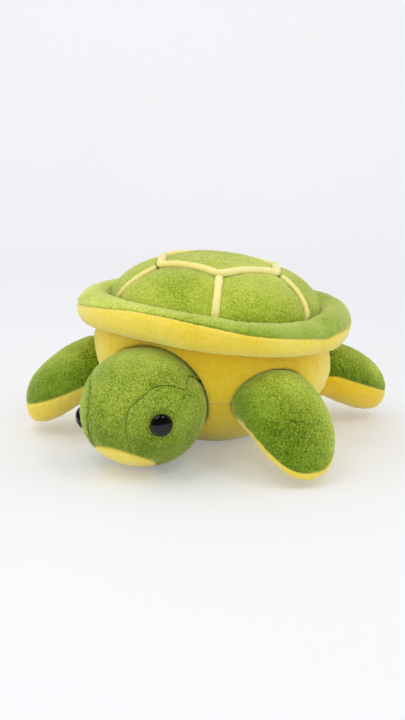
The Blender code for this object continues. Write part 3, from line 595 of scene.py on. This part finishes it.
def make_shell(green, piping, fill):
    middle = np.array(SHELL_FRAME.translation)
    turn, reach = crest_line(CREST_EDGE_STEPS)
    share = steps(TOP_STEPS)[:, None]
    edge = reach - RING_PIPING_RADIUS + PIPING_SINK
    points = moved(SHELL_FRAME, dome_place(edge * share, turn[None], TOP_PUFF * (1 - share**2)))
    soft_panel("shell_top_panel", points, middle, last_edge, green, "root", loop=True)
    side = STRIP_PIPING_RADIUS - PIPING_SINK
    down = steps(SIDE_STEPS[0])[:, None]
    across = steps(SIDE_STEPS[1])[None]
    for index, name in enumerate(SIDE_NAMES, start=CREST_SIDES - 1):
        first, last = crest_corner(index)[0], crest_corner(index + 1)[0]
        start, end = mix(first, foot_turn(index), down), mix(last, foot_turn(index + 1), down)
        edge = crest_reach(index, mix(first, last, across)) + RING_PIPING_RADIUS - PIPING_SINK
        reach = DOME_RADIUS * np.sin(mix(np.arcsin(edge / DOME_RADIUS), DOME_FOOT, down))
        turn = mix(start + side / reach, end - side / reach, across)
        swell = np.sqrt(np.maximum(np.sin(math.pi * across) * np.sin(math.pi * down), 0.0))
        points = moved(SHELL_FRAME, dome_place(reach, turn, SIDE_PUFF * swell))
        soft_panel(f"shell_{name}_panel", points, middle, all_edges, green, "root")
    make_piping(piping)
    depth = PLUSH + FILL_GAP
    angle = QUARTER * steps(DOME_FILL_STEPS[0])[:, None]
    radius = (DOME_RADIUS - depth - STRIP_PIPING_RADIUS) * np.cos(angle)
    around = turns(DOME_FILL_STEPS[1])[None]
    points = slanted(radius, around, (DOME_RISE - depth) * np.sin(angle))
    base = np.zeros_like(points[:1])
    stuff("shell_stuffing", moved(SHELL_FRAME, np.concatenate((base, points))), fill, "root")


def tube(path, normals, radius, sides, loop):
    """Rings of points round a path, with tips where it doesn't loop."""
    if loop:
        along = unit(np.roll(path, -1, axis=0) - np.roll(path, 1, axis=0))
    else:
        along = unit(np.gradient(path, axis=0))
    up = unit(normals - along * (normals * along).sum(-1, keepdims=True))
    across = np.cross(along, up)
    angle = turns(sides)[None, :, None]
    uneven = 1 + PIPING_UNEVEN * noise(path, PIPING_UNEVEN_LENGTH, PIPING_SEED)[:, None, None]
    out = across[:, None] * np.cos(angle) + up[:, None] * np.sin(angle)
    rings = path[:, None] + out * (radius * uneven)
    rings = pile(rings, out, PIPING_PILE)
    if not loop:
        rings[0] = path[0]
        rings[-1] = path[-1]
    return rings


def smoothed(path, times):
    """A looped path with its corners rounded."""
    for _ in range(times):
        path = (np.roll(path, 1, axis=0) + path * 2 + np.roll(path, -1, axis=0)) / 4
    return path


def make_piping(material):
    count, sides = RING_PIPING_STEPS
    turn, reach = crest_line(count)
    path = smoothed(dome_place(reach, turn, PIPING_LIFT), PIPING_SMOOTHING)
    normals = unit(dome_place(reach, turn, 1.0) - dome_place(reach, turn, 0.0))
    rings = moved(SHELL_FRAME, tube(path, normals, RING_PIPING_RADIUS, sides, True))
    piece = make_solid("shell_piping_ring_soft", rings, material, ring=True)
    dress(piece, "root", "shell_piping_ring")
    count, sides = STRIP_PIPING_STEPS
    share = steps(count)
    for index, name in enumerate(CREST_NAMES):
        corner_turn, corner_reach = crest_corner(index)
        begin = math.asin((corner_reach + RING_PIPING_RADIUS) / DOME_RADIUS)
        turn = mix(corner_turn, foot_turn(index), share)
        reach = DOME_RADIUS * np.sin(mix(begin, DOME_FOOT, share))
        inward = (STRIP_PIPING_RADIUS + PIPING_LIFT) * ease(4 * share - 3)
        path = dome_place(reach, turn, PIPING_LIFT - inward)
        normals = unit(dome_place(reach, turn, 1.0) - dome_place(reach, turn, 0.0))
        radius = STRIP_PIPING_RADIUS * STRIP_SHARES[name]
        rings = moved(SHELL_FRAME, tube(path, normals, radius, sides, False))
        node = "shell_piping_" + name
        dress(make_solid(node + "_soft", rings, material), "root", node)


# Rim
def rim_points(share, end, turn, depth):
    """Points at a share of the way round the rim's own tube, from its outer seam to an angle."""
    sway = noise(polar(RIM_RADIUS, turn, 0.0), RIM_WAVE_LENGTH, WAVE_SEED)
    fold = np.exp(-(((turn - RIM_FOLD_TURN) / RIM_FOLD_WIDTH) ** 2))
    angle = mix(RIM_ROLL * facing(turn, RIM_ROLL_TURN) ** 2 + RIM_SWAY * (sway - fold), end, share)
    wave = RIM_WAVE * sway
    rise = RIM_RISE + wave + RIM_CURL * facing(turn, RIM_CURL_TURN)
    rise = rise + RIM_PUFF * facing(turn, RIM_PUFF_TURN)
    rise = rise - RIM_FLAT * facing(turn, RIM_FLAT_TURN)
    rise = rise * (1 - RIM_FOLD_SHARE * fold)
    height = np.where(angle > 0, rise, RIM_DROP + wave) - depth
    out = RIM_RADIUS + (RIM_HALF_WIDTH - depth) * np.cos(angle)
    return settled(out, turn, height * np.sin(angle))


def make_rim(green, yellow, fill):
    turn = turns(RIM_STEPS[1])[None]
    core = moved(SHELL_FRAME, settled(RIM_RADIUS, turn, 0.0))
    for node, end, material, slot in (
        ("rim_top", math.pi, green, "green_plush"),
        ("rim_underside", -RIM_WRAP, yellow, "yellow_plush"),
    ):
        points = moved(SHELL_FRAME, rim_points(steps(RIM_STEPS[0])[:, None], end, turn, 0.0))
        soft_panel(node, points, core, end_edges, material, "root", loop=True)
    share, turn = steps(RIM_FILL_STEPS[0])[:, None], turns(RIM_FILL_STEPS[1])[None]
    over, under = (rim_points(share, end, turn, PLUSH + FILL_GAP) for end in (math.pi, -math.pi))
    points = moved(SHELL_FRAME, np.concatenate((over, under[-2:0:-1])))
    stuff("rim_stuffing", points, fill, "root", ring=True)


# Body
def spline(values, count):
    """A smooth line through values, with count steps between each two."""
    values = np.array(values)
    slope = np.gradient(values)
    share = np.arange(count) / count
    parts = []
    for index in range(len(values) - 1):
        start, end = values[index], values[index + 1]
        lift = slope[index] * (share**3 - 2 * share**2 + share) + slope[index + 1] * (share**3 - share**2)
        parts.append(mix(start, end, ease(share)) + lift)
    return np.append(np.concatenate(parts), values[-1])


def body_place(radius, turn, height):
    """Points of the body, upright at the side seam and in the shell's plane at the rim."""
    upright = moved(Matrix.Translation(ROOT + Vector((SHELL_SHIFT, 0, 0))), polar(radius, turn, height))
    tilted = moved(SHELL_FRAME, settled(radius, turn, height - SHELL_HEIGHT))
    top = SHELL_HEIGHT - RIM_DROP
    share = ease((height - BODY_SEAM_HEIGHT) / (top - BODY_SEAM_HEIGHT))
    return upright + (tilted - upright) * np.broadcast_to(share, upright.shape[:-1])[..., None]


def body_outline():
    """Radii and heights up the belly and the side band, and where the two meet."""
    rise = SHELL_HEIGHT - BAND_TOP_DROP - BODY_SEAM_HEIGHT
    radii = BELLY_RADIUS_SHARES + BAND_RADIUS_SHARES[1:]
    heights = [BODY_SEAM_HEIGHT * share for share in BELLY_HEIGHT_SHARES]
    heights += [BODY_SEAM_HEIGHT + rise * share for share in BAND_HEIGHT_SHARES[1:]]
    count = BODY_STEPS[0]
    radius = BODY_RADIUS * spline(radii, count)
    height = np.maximum(spline(heights, count), 0.0)
    height[: count + 1] = 0.0
    return radius, height, (len(BELLY_RADIUS_SHARES) - 1) * count


def hug(points, normals, balls):
    """Dents a surface round the balls that it is sewn to, and rolls it in beside them."""
    for frame_in, sizes in balls:
        turned = -normals @ np.array(frame_in)[:3, :3].T / sizes
        place = moved(frame_in, points) / sizes
        distance = np.linalg.norm(place, axis=-1)
        near = CREASE_DEPTH * (1 - np.clip((distance - 1) / CREASE_SHARE, 0.0, 1.0)) ** 2
        squared = (turned**2).sum(-1)
        slope = (place * turned).sum(-1)
        inside = distance**2 - 1
        chord = (np.sqrt(np.maximum(slope * slope - squared * inside, 0.0)) - slope) / squared
        push = np.where(distance < 1, np.maximum(chord, CREASE_DEPTH), near)
        points = points - normals * push[..., None]
    return points


def make_body(yellow, fill, balls):
    radius, height, seam = body_outline()
    turn = turns(BODY_STEPS[1])[None]
    points = body_place(radius[:, None], turn, height[:, None])
    core = np.array(ROOT)[None, None] + np.array((0, 0, 1)) * points[..., 2:] / 2
    core = core + [0, 0, BODY_SEAM_HEIGHT / 2]
    normals = grid_normals(points, True, core)
    points = lumpy(points, normals)
    points[points[..., 2] < 0, 2] = 0
    for node, rows in (("belly_panel", slice(0, seam + 1)), ("body_side_band", slice(seam, None))):
        part, out = points[rows], normals[rows]
        edges = last_edge(part) if node == "belly_panel" else first_edge(part)
        part = seam_roll(part, out, edges, BODY_ROLL, BODY_ROLL_WIDTH)
        part = pile(hug(part, out, balls), out)
        part[..., 2] = np.maximum(part[..., 2], 0.0)
        piece = make_slab(node + "_soft", part, out, yellow, loop=True)
        dress(piece, "root", node)
    depth = PLUSH + FILL_GAP
    every = slice(None, None, 2)
    inner = hug(points - normals * depth, normals, balls)[every, every]
    lid = moved(SHELL_FRAME, settled(0.0, turn[:, every], -FILL_GAP))
    ring = moved(SHELL_FRAME, settled(DOME_RADIUS - depth - RIM_HALF_WIDTH, turn[:, every], -FILL_GAP))
    stuff("body_stuffing", np.concatenate((inner, ring, lid)), fill, "root")


# Head
def head_direction(line, side):
    return np.stack((
        np.sin(side) * np.ones_like(line),
        -np.cos(side) * np.cos(line),
        np.cos(side) * np.sin(line),
    ), -1)


def head_sizes(out):
    share = ease((ROUND_BACK_SHARE - out[..., 1:2]) / (1 + ROUND_BACK_SHARE))
    return mix(HEAD_BACK, np.array((HEAD_HALF_WIDTH, HEAD_FRONT_LENGTH, HEAD_HALF_HEIGHT)), share)


def head_place(line, side, depth):
    line, side = np.broadcast_arrays(line, side)
    out = head_direction(line, side)
    return out * (head_sizes(out) - depth)


def gusset_half(line):
    widen, wide, narrow, end = GUSSET_LINES
    half = mix(GUSSET_NOSE, GUSSET_CROWN, ease((line - widen) / (wide - widen)))
    return mix(half, GUSSET_NECK, ease((line - narrow) / (end - narrow)))


def gusset_line(share, across):
    start = np.arccos(math.cos(CHIN_SPREAD) / np.cos(across * GUSSET_NOSE))
    end = np.arccos(math.cos(CHIN_SPREAD) / np.cos(across * GUSSET_NECK))
    return CHIN_LINE + mix(start + SEAM_TURN, math.tau - end - SEAM_TURN, share)


def seam_wander(line):
    """How far the left gusset seam strays towards the side, as it was sewn by hand."""
    return sum(far * np.exp(-(((line - middle) / WANDER_WIDTH) ** 2)) for middle, far in WANDERS)


def chin_edge_turn(half):
    return np.arcsin(np.sin(half) / math.sin(CHIN_SPREAD))


def chin_direction(spread, turn):
    line = CHIN_LINE + np.arctan2(np.sin(spread) * np.cos(turn), np.cos(spread))
    return line, np.arcsin(np.sin(spread) * np.sin(turn))


def cheek_turns(count):
    return mix(chin_edge_turn(GUSSET_NOSE), math.pi - chin_edge_turn(GUSSET_NECK), steps(count))


def eye_frame(turn, rise):
    """A frame on the head's surface at an eye, with +Z pointing straight out of it."""
    side = math.asin(math.sin(turn) * math.cos(rise))
    line = math.atan2(math.sin(rise), math.cos(turn) * math.cos(rise))
    out = head_direction(np.array(line), np.array(side))
    normal = Vector(out / head_sizes(out))
    place = HEAD_MIDDLE + Vector(head_place(np.array(line), np.array(side), 0.0))
    return Matrix.Translation(place) @ normal.to_track_quat("Z", "Y").to_matrix().to_4x4()


def head_panel(node, line, side, edges, material, loop=False):
    middle = np.array(HEAD_MIDDLE)
    points = head_place(line, side, 0.0) + middle
    presses = [np.array(eye_frame(turn, rise).translation) for turn, rise in EYES.values()]
    soft_panel(
        node, points, middle, edges, material, "head",
        loop, HEAD_ROLL, HEAD_ROLL_WIDTH, presses,
    )


def make_head(green, yellow, fill, black):
    share = steps(GUSSET_STEPS[0])[:, None]
    across = mix(-1.0, 1.0, steps(GUSSET_STEPS[1]))[None]
    line = gusset_line(share, across)
    half = gusset_half(gusset_line(share, 1.0)) - SEAM_TURN / 2
    side = half * across + seam_wander(gusset_line(share, 1.0)) * np.maximum(across, 0.0)
    head_panel("head_centre_panel", line, side, all_edges, green)
    crown = gusset_line(steps(GUSSET_STEPS[0]), 1.0)
    cheek = cheek_turns(CHEEK_STEPS[0])[-2:0:-1]
    cheek_line, cheek_side = chin_direction(CHIN_SPREAD + SEAM_TURN / 2, cheek)
    edge_line = np.concatenate((crown, cheek_line))[None]
    for label, sign, wander in (("left", 1, seam_wander(crown)), ("right", -1, 0.0)):
        edge_side = np.concatenate((gusset_half(crown) + SEAM_TURN / 2 + wander, cheek_side))[None]
        side = mix(edge_side, QUARTER, steps(CHEEK_STEPS[1])[:, None]) * sign
        node = "head_side_panel_" + label
        line = np.broadcast_to(edge_line, side.shape)
        head_panel(node, line, side, first_edge, green, loop=True)
    spread = (CHIN_SPREAD - SEAM_TURN) * steps(CHIN_STEPS[0])[:, None]
    line, side = chin_direction(spread, turns(CHIN_STEPS[1])[None])
    head_panel("chin_panel", line, side, last_edge, yellow, loop=True)
    angle = mix(-QUARTER, QUARTER, steps(HEAD_FILL_STEPS[0])[:, None])
    around = turns(HEAD_FILL_STEPS[1])[None]
    points = head_place(around, angle, PLUSH + FILL_GAP) + np.array(HEAD_MIDDLE)
    stuff("head_stuffing", points, fill, "head")
    for label, (turn, rise) in EYES.items():
        make_eye("eye_" + label, eye_frame(turn, rise), black)
    make_neck_thread()


def make_eye(node, place, black):
    """A domed eye with a rounded rim, over the shank that holds its washer."""
    dome_steps, rim_steps, sides = EYE_STEPS
    angle = QUARTER * steps(dome_steps)
    dome = (EYE_RADIUS * np.cos(angle), EYE_RISE * np.sin(angle))
    under = QUARTER * (steps(rim_steps)[:-1] - 1)
    rim = (EYE_RADIUS - EYE_SINK * (1 - np.cos(under)), EYE_SINK * np.sin(under))
    radius = np.concatenate(((0.0, SHANK_RADIUS, SHANK_RADIUS), rim[0], dome[0]))
    height = np.concatenate(((-SHANK_LENGTH, -SHANK_LENGTH, -EYE_SINK), rim[1], dome[1]))
    points = moved(place, polar(radius[:, None], turns(sides)[None], height[:, None]))
    dress(make_solid(node + "_glossy", points, black), "head", node)


def make_neck_thread():
    wide, back, high = HEAD_BACK + NECK_GAP / 2
    count, sides = THREAD_STEPS
    turn = turns(count)
    path = np.stack((
        wide * math.sin(NECK_THREAD_SPREAD) * np.cos(turn),
        np.full_like(turn, back * math.cos(NECK_THREAD_SPREAD)),
        high * math.sin(NECK_THREAD_SPREAD) * np.sin(turn),
    ), -1)
    normals = unit(path)
    path = path + np.array(HEAD_MIDDLE)
    twist = 1 + THREAD_TWIST * np.sin(turn[:, None] * THREAD_TURNS + turns(sides)[None] * 2)
    along = unit(np.roll(path, -1, axis=0) - np.roll(path, 1, axis=0))
    across = np.cross(along, normals)
    angle = turns(sides)[None, :, None]
    out = across[:, None] * np.cos(angle) + normals[:, None] * np.sin(angle)
    rings = path[:, None] + out * (NECK_THREAD_RADIUS * twist[..., None])
    piece = make_solid("neck_seam_thread_soft", rings, thread_material(), ring=True)
    dress(piece, "neck", "neck_seam_thread")


# Flippers
def flipper_points(flipper, drop, along, across, depth, half):
    """Points of a flipper's top (half 0) or underside (half 1), in its hinge's frame."""
    angle = QUARTER * along
    length = np.where(along > 0, flipper.reach, flipper.root_radius) - depth
    share = np.maximum(np.sin(angle), 0.0)
    slim = np.maximum(np.cos(angle), 0.0) ** np.where(along > 0, FLIPPER_TIP_POWER, 1.0)
    wide = (flipper.half_width - depth) * (1 + FLIPPER_FLARE_SHARE * share) * slim
    high = (flipper.root_radius - depth) * (1 + FLIPPER_PLUMP_SHARE * share) * slim
    seam = -flipper.seam_drop * (1 - share)
    start, end = ((seam, math.pi - seam), (math.pi - seam, math.tau + seam))[half]
    around = mix(start, end, across)
    high = np.where(np.sin(around) < 0, high * mix(1.0, flipper.under_share, share), high)
    lowered = drop * share**flipper.drop_power
    return np.stack(np.broadcast_arrays(
        wide * np.cos(around), -length * np.sin(angle), high * np.sin(around) - lowered
    ), -1)


def flipper_frame(label):
    """The hinge of a flipper, with -Y pointing out along it and X along its axis."""
    place = Vector(JOINTS[label + "_flap"]["pos_m"])
    return Matrix.Translation(place) @ Matrix.Rotation(FLIPPERS[label].turn, 4, "Z")


def make_flipper(label, green, yellow, fill):
    place = flipper_frame(label)
    flipper = FLIPPERS[label]
    drop = place.translation.z - flipper.tip_height
    root_steps, length_steps, across_steps = FLIPPER_STEPS
    along = np.concatenate((steps(root_steps)[:-1] - 1, steps(length_steps)))[:, None]
    across = steps(across_steps)[None]
    name = label + "_flipper"
    core = flipper_points(flipper, drop, along, np.array([[0.5]]), flipper.root_radius, 0)
    core = moved(place, core * np.array((0, 1, 1)))
    for panel, half, material, slot in (
        ("top", 0, green, "green_plush"), ("bottom", 1, yellow, "yellow_plush"),
    ):
        points = moved(place, flipper_points(flipper, drop, along, across, 0.0, half))
        node = f"{name}_{panel}"
        piece = soft_panel(node, points, core, side_edges, material, None, roll=FLIPPER_ROLL)
        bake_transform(piece)
    depth = PLUSH + FILL_GAP
    across = steps(FLIPPER_FILL_STEPS)[None]
    halves = [flipper_points(flipper, drop, along[::2], across, depth, half) for half in (0, 1)]
    points = np.concatenate([half[:, :-1] for half in halves], axis=1)
    piece = stuff(name + "_stuffing", moved(place, points), fill, None)
    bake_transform(piece)


# Materials
def new_material(name):
    material = bpy.data.materials.new(name)
    material.use_nodes = True
    tree = material.node_tree
    return material, tree, tree.nodes["Principled BSDF"]


def set_inputs(tree, node, inputs):
    """Sets a node's inputs to plain values or links them to other nodes' outputs."""
    for place, value in inputs.items():
        if isinstance(value, bpy.types.NodeSocket):
            tree.links.new(value, node.inputs[place])
        else:
            node.inputs[place].default_value = value


def add_node(tree, kind, inputs, operation=None):
    node = tree.nodes.new(kind)
    if operation is not None:
        node.operation = operation
    set_inputs(tree, node, inputs)
    return node


def add_noise(tree, scale, detail, roughness=0.5, squeeze=None):
    """A noise in the object's own coordinates, drawn out along one axis where squeeze is given."""
    source = tree.nodes.new("ShaderNodeTexCoord").outputs["Object"]
    if squeeze is not None:
        source = add_node(tree, "ShaderNodeMapping", {"Vector": source, "Scale": squeeze}).outputs["Vector"]
    inputs = {"Vector": source, "Scale": scale, "Detail": detail, "Roughness": roughness}
    return add_node(tree, "ShaderNodeTexNoise", inputs).outputs["Fac"]


def add_product(tree, first, second):
    return add_node(tree, "ShaderNodeMath", {0: first, 1: second}, "MULTIPLY").outputs[0]


def add_sum(tree, parts):
    """The sum of (output, weight) parts."""
    total = None
    for output, weight in parts:
        scaled = add_product(tree, output, weight)
        if total is None:
            total = scaled
        else:
            total = add_node(tree, "ShaderNodeMath", {0: total, 1: scaled}, "ADD").outputs[0]
    return total


def add_dot(tree, vector, direction):
    """How far a vector points along a direction."""
    return add_node(tree, "ShaderNodeVectorMath", {0: vector, 1: direction}, "DOT_PRODUCT").outputs["Value"]


def add_range(tree, value, inputs, smooth=False):
    """A value mapped from one range to another, each 0 to 1 where inputs don't say otherwise."""
    node = add_node(tree, "ShaderNodeMapRange", {"Value": value, **inputs})
    if smooth:
        node.interpolation_type = "SMOOTHSTEP"
    return node.outputs["Result"]


def add_ramp(tree, factor, stops):
    stops = list(stops)
    ramp = add_node(tree, "ShaderNodeValToRGB", {"Fac": factor})
    elements = ramp.color_ramp.elements
    while len(elements) < len(stops):
        elements.new(0.5)
    for element, (place, colour) in zip(elements, stops):
        element.position = place
        element.color = (*colour, 1.0)
    return ramp.outputs["Color"]


def add_grey_ramp(tree, factor, greys):
    return add_ramp(tree, factor, zip(GRAIN_STOPS, [(grey,) * 3 for grey in greys]))


def add_bump(tree, shader, height, strength, distance):
    inputs = {"Strength": strength, "Distance": distance, "Height": height}
    normal = add_node(tree, "ShaderNodeBump", inputs).outputs["Normal"]
    set_inputs(tree, shader, {"Normal": normal})


def add_painted_shade(tree, colour, way, slope, start, end, kept):
    """The colour with painted shade: darker where the surface turns away from the way of the light and lies
    back along its slope.
    """
    place = tree.nodes.new("ShaderNodeTexCoord").outputs
    turned = add_sum(tree, (
        (add_dot(tree, place["Normal"], way), 1.0), (add_dot(tree, place["Object"], slope), 1.0),
    ))
    share = add_range(tree, turned, {"From Min": start, "From Max": end}, smooth=True)
    inputs = {0: share, 1: [1 - part for part in kept], 2: kept}
    deep = add_node(tree, "ShaderNodeVectorMath", inputs, "MULTIPLY_ADD").outputs["Vector"]
    return add_node(tree, "ShaderNodeVectorMath", {0: colour, 1: deep}, "MULTIPLY").outputs["Vector"]


def plush_material(name, colours, tint, relief, painted_shade=None):
    """Short pile: brushed patches, clumps and single fibres, with light caught by their tips."""
    material, tree, shader = new_material(name)
    brushed, clumps, fibres = (add_noise(tree, *kind) for kind in (BRUSHED, CLUMPS, FIBRES))
    mixed = add_sum(tree, zip((brushed, clumps, fibres), PILE_WEIGHTS))
    colour = add_ramp(tree, mixed, zip(PILE_STOPS, colours))
    # Painted light and shade, set by the way each surface faces, where the material is given it
    if painted_shade is not None:
        colour = add_painted_shade(tree, colour, *painted_shade)
    set_inputs(tree, shader, {
        "Base Color": colour,
        "Roughness": add_grey_ramp(tree, clumps, PILE_ROUGHNESS),
        "Specular IOR Level": 0.12,
        "Sheen Weight": 1.0,
        "Sheen Roughness": 0.45,
        "Sheen Tint": (*tint, 1.0),
    })
    height = add_sum(tree, zip((clumps, fibres), PILE_RELIEF_WEIGHTS))
    add_bump(tree, shader, height, relief, PILE_RELIEF)
    return material


def glossy_black():
    """Moulded black plastic, polished, with the faintest unevenness in its gloss."""
    material, tree, shader = new_material("eye_gloss")
    smear = add_noise(tree, 260, 4)
    colour = add_ramp(tree, smear, zip(GRAIN_STOPS, ((0.001, 0.001, 0.001), (0.003, 0.003, 0.004))))
    rough = add_grey_ramp(tree, smear, GLOSS_ROUGHNESS)
    set_inputs(tree, shader, {"Base Color": colour, "Roughness": rough, "Specular IOR Level": 0.4})
    return material


def plain_material(name, noise_kind, colours, roughness, bump):
    """A material between two close colours, with a low relief along the same noise."""
    material, tree, shader = new_material(name)
    grain = add_noise(tree, *noise_kind)
    colour = add_ramp(tree, grain, zip(GRAIN_STOPS, colours))
    set_inputs(tree, shader, {"Base Color": colour, "Roughness": roughness})
    add_bump(tree, shader, grain, *bump)
    return material


def fibre_filling():
    whites = ((0.72, 0.72, 0.70), (0.90, 0.90, 0.88))
    return plain_material("loose_fibre", (300, 6, 0.7, (1.0, 0.4, 1.0)), whites, 0.95, (0.8, 0.0015))


def thread_material():
    greens = ((0.16, 0.22, 0.03), (0.36, 0.45, 0.08))
    return plain_material("waxed_thread", (1800, 2, 0.5, (0.3, 1.0, 1.0)), greens, 0.6, (0.5, 0.0002))


def washer_material():
    whites = ((0.72, 0.72, 0.70), (0.80, 0.80, 0.78))
    return plain_material("moulded_white", (900, 3), whites, 0.45, (0.2, 0.0001))


# Stage
def make_stage():
    """A pale sweep: a floor that curves up into a backdrop far behind the toy."""
    right = Vector((math.cos(CAMERA_TURN), math.sin(CAMERA_TURN), 0))
    away = Vector((-math.sin(CAMERA_TURN), math.cos(CAMERA_TURN), 0))
    line = [(-SWEEP_FRONT, 0.0), (0.0, 0.0)]
    line += [
        (SWEEP_BACK + SWEEP_BEND * math.sin(angle), SWEEP_BEND * (1 - math.cos(angle)))
        for angle in QUARTER * steps(SWEEP_STEPS)
    ]
    line.append((SWEEP_BACK + SWEEP_BEND, SWEEP_TOP))
    points = []
    for out, up in line:
        for side in (-SWEEP_SIDE, SWEEP_SIDE):
            points.append(right * side + away * out + Vector((0, 0, up)))
    mesh = bpy.data.meshes.new("floor_sweep")
    faces = [(index, index + 1, index + 3, index + 2) for index in range(0, len(points) - 2, 2)]
    mesh.from_pydata(points, [], faces)
    mesh.shade_smooth()
    material, tree, shader = new_material("pale_sweep")
    colour = add_ramp(tree, add_noise(tree, 2.2, 2), zip(GRAIN_STOPS, (FLOOR_DARK, FLOOR_LIGHT)))
    seen = tree.nodes.new("ShaderNodeLightPath").outputs["Is Camera Ray"]
    kept = add_node(tree, "ShaderNodeMath", {0: 1.0, 1: add_product(tree, seen, -FLOOR_GLOW)}, "ADD")
    dimmed = add_node(tree, "ShaderNodeVectorMath", {0: colour, "Scale": kept.outputs[0]}, "SCALE")
    place = tree.nodes.new("ShaderNodeTexCoord").outputs["Object"]
    grown = add_range(tree, add_dot(tree, place, away), {
        "From Min": GLOW_START,
        "From Max": SWEEP_BACK + SWEEP_BEND,
        "To Min": FLOOR_GLOW,
        "To Max": FLOOR_GLOW + BACKDROP_GLOW,
    })
    set_inputs(tree, shader, {
        "Base Color": dimmed.outputs["Vector"],
        "Roughness": 0.75,
        "Emission Strength": add_product(tree, grown, seen),
        "Emission Color": (*FLOOR_LIGHT, 1.0),
    })
    mesh.materials.append(material)
    floor = bpy.data.objects.new("floor_sweep", mesh)
    bpy.context.collection.objects.link(floor)


def make_lamp(name, place, size, power):
    """A square lamp that faces the middle of the toy."""
    data = bpy.data.lights.new(name, "AREA")
    data.shape = "SQUARE"
    data.size = size
    data.energy = power
    lamp = bpy.data.objects.new(name, data)
    bpy.context.collection.objects.link(lamp)
    lamp.location = place
    lamp.rotation_euler = (TARGET - Vector(place)).to_track_quat("-Z", "Y").to_euler()


def make_light():
    world = bpy.data.worlds.new("studio")
    bpy.context.scene.world = world
    world.use_nodes = True
    tree = world.node_tree
    ambient = tree.nodes["Background"]
    ambient.inputs["Color"].default_value = (*WORLD_COLOUR, 1.0)
    place = tree.nodes.new("ShaderNodeTexCoord").outputs["Generated"]
    ahead = add_dot(tree, place, (math.sin(CAMERA_TURN), -math.cos(CAMERA_TURN), 0))
    ends = {"From Max": WORLD_FRONT_SHARE, "To Min": WORLD_SIDE, "To Max": WORLD_FRONT}
    strength = add_range(tree, ahead, ends, smooth=True)
    up = add_node(tree, "ShaderNodeSeparateXYZ", {"Vector": place}).outputs["Z"]
    height = add_range(tree, up, {"To Min": WORLD_LOW, "To Max": WORLD_HIGH})
    glossy = tree.nodes.new("ShaderNodeLightPath").outputs["Is Glossy Ray"]
    mirrored = add_range(tree, glossy, {"To Min": 1.0, "To Max": WORLD_MIRRORED})
    strength = add_product(tree, add_product(tree, strength, height), mirrored)
    set_inputs(tree, ambient, {"Strength": strength})
    for name, place, size, power in LAMPS:
        make_lamp(name, place, size, power)


def make_camera():
    aside, back = CAMERA_REACH * math.sin(CAMERA_TURN), CAMERA_REACH * math.cos(CAMERA_TURN)
    place = Vector((ROOT.x + aside, ROOT.y - back, CAMERA_HEIGHT))
    turn = CAMERA_TURN + CAMERA_YAW
    ahead = Vector((-math.sin(turn), math.cos(turn), 0))
    right = Vector((math.cos(turn), math.sin(turn), 0))
    up = Vector((0, 0, 1))
    forward = ahead * math.cos(CAMERA_PITCH) - up * math.sin(CAMERA_PITCH)
    upward = ahead * math.sin(CAMERA_PITCH) + up * math.cos(CAMERA_PITCH)
    rolled_right = right * math.cos(CAMERA_ROLL) + upward * math.sin(CAMERA_ROLL)
    rolled_up = upward * math.cos(CAMERA_ROLL) - right * math.sin(CAMERA_ROLL)
    data = bpy.data.cameras.new("camera")
    data.sensor_fit = "VERTICAL"
    data.sensor_height = SENSOR_HEIGHT
    data.lens = CAMERA_LENS
    camera = bpy.data.objects.new("camera", data)
    bpy.context.collection.objects.link(camera)
    grid = Matrix((rolled_right, rolled_up, -forward)).transposed().to_4x4()
    grid.translation = place
    camera.matrix_world = grid
    bpy.context.scene.camera = camera


def build():
    head_green = plush_material("head_green_pile", HEAD_GREENS, GREEN_TINT, 0.60, HEAD_PAINTED_SHADE)
    flipper_green = plush_material("flipper_green_pile", FLIPPER_GREENS, GREEN_TINT, 0.60, FLIPPER_PAINTED_SHADE)
    shell_green = plush_material("shell_green_pile", SHELL_GREENS, SHELL_GREEN_TINT, 0.50)
    rim_green = plush_material("rim_green_pile", RIM_GREENS, SHELL_GREEN_TINT, 0.50, RIM_PAINTED_SHADE)
    rear_yellow = plush_material("rear_yellow_pile", REAR_YELLOWS, YELLOW_TINT, 0.30)
    pale_yellow = plush_material("pale_yellow_pile", PALE_YELLOWS, YELLOW_TINT, 0.30)
    body_yellow = plush_material("body_yellow_pile", PALE_YELLOWS, YELLOW_TINT, 0.30, BODY_PAINTED_SHADE)
    piping = plush_material("piping_pile", PIPINGS, PIPING_TINT, 0.20)
    fill = fibre_filling()
    make_shell(shell_green, piping, fill)
    make_rim(rim_green, pale_yellow, fill)
    balls = [(Matrix.Translation(HEAD_MIDDLE).inverted(), HEAD_BACK + HUG_GAP + TURN_GAP)]
    for label, flipper in FLIPPERS.items():
        yellow = rear_yellow if "rear" in label else pale_yellow
        make_flipper(label, flipper_green, yellow, fill)
        sizes = np.array((flipper.half_width, flipper.root_radius, flipper.root_radius)) + HUG_GAP
        balls.append((flipper_frame(label).inverted(), sizes))
    make_body(body_yellow, fill, balls)
    make_head(head_green, pale_yellow, fill, glossy_black())
    washer = washer_material()
    for side in ("left", "right"):
        node = frame["nodes"]["eye_washer_" + side]
        for slot in node.material_slots:
            slot.material = washer
    make_stage()
    make_light()
    make_camera()
    bpy.context.scene.view_settings.view_transform = "Standard"


build()
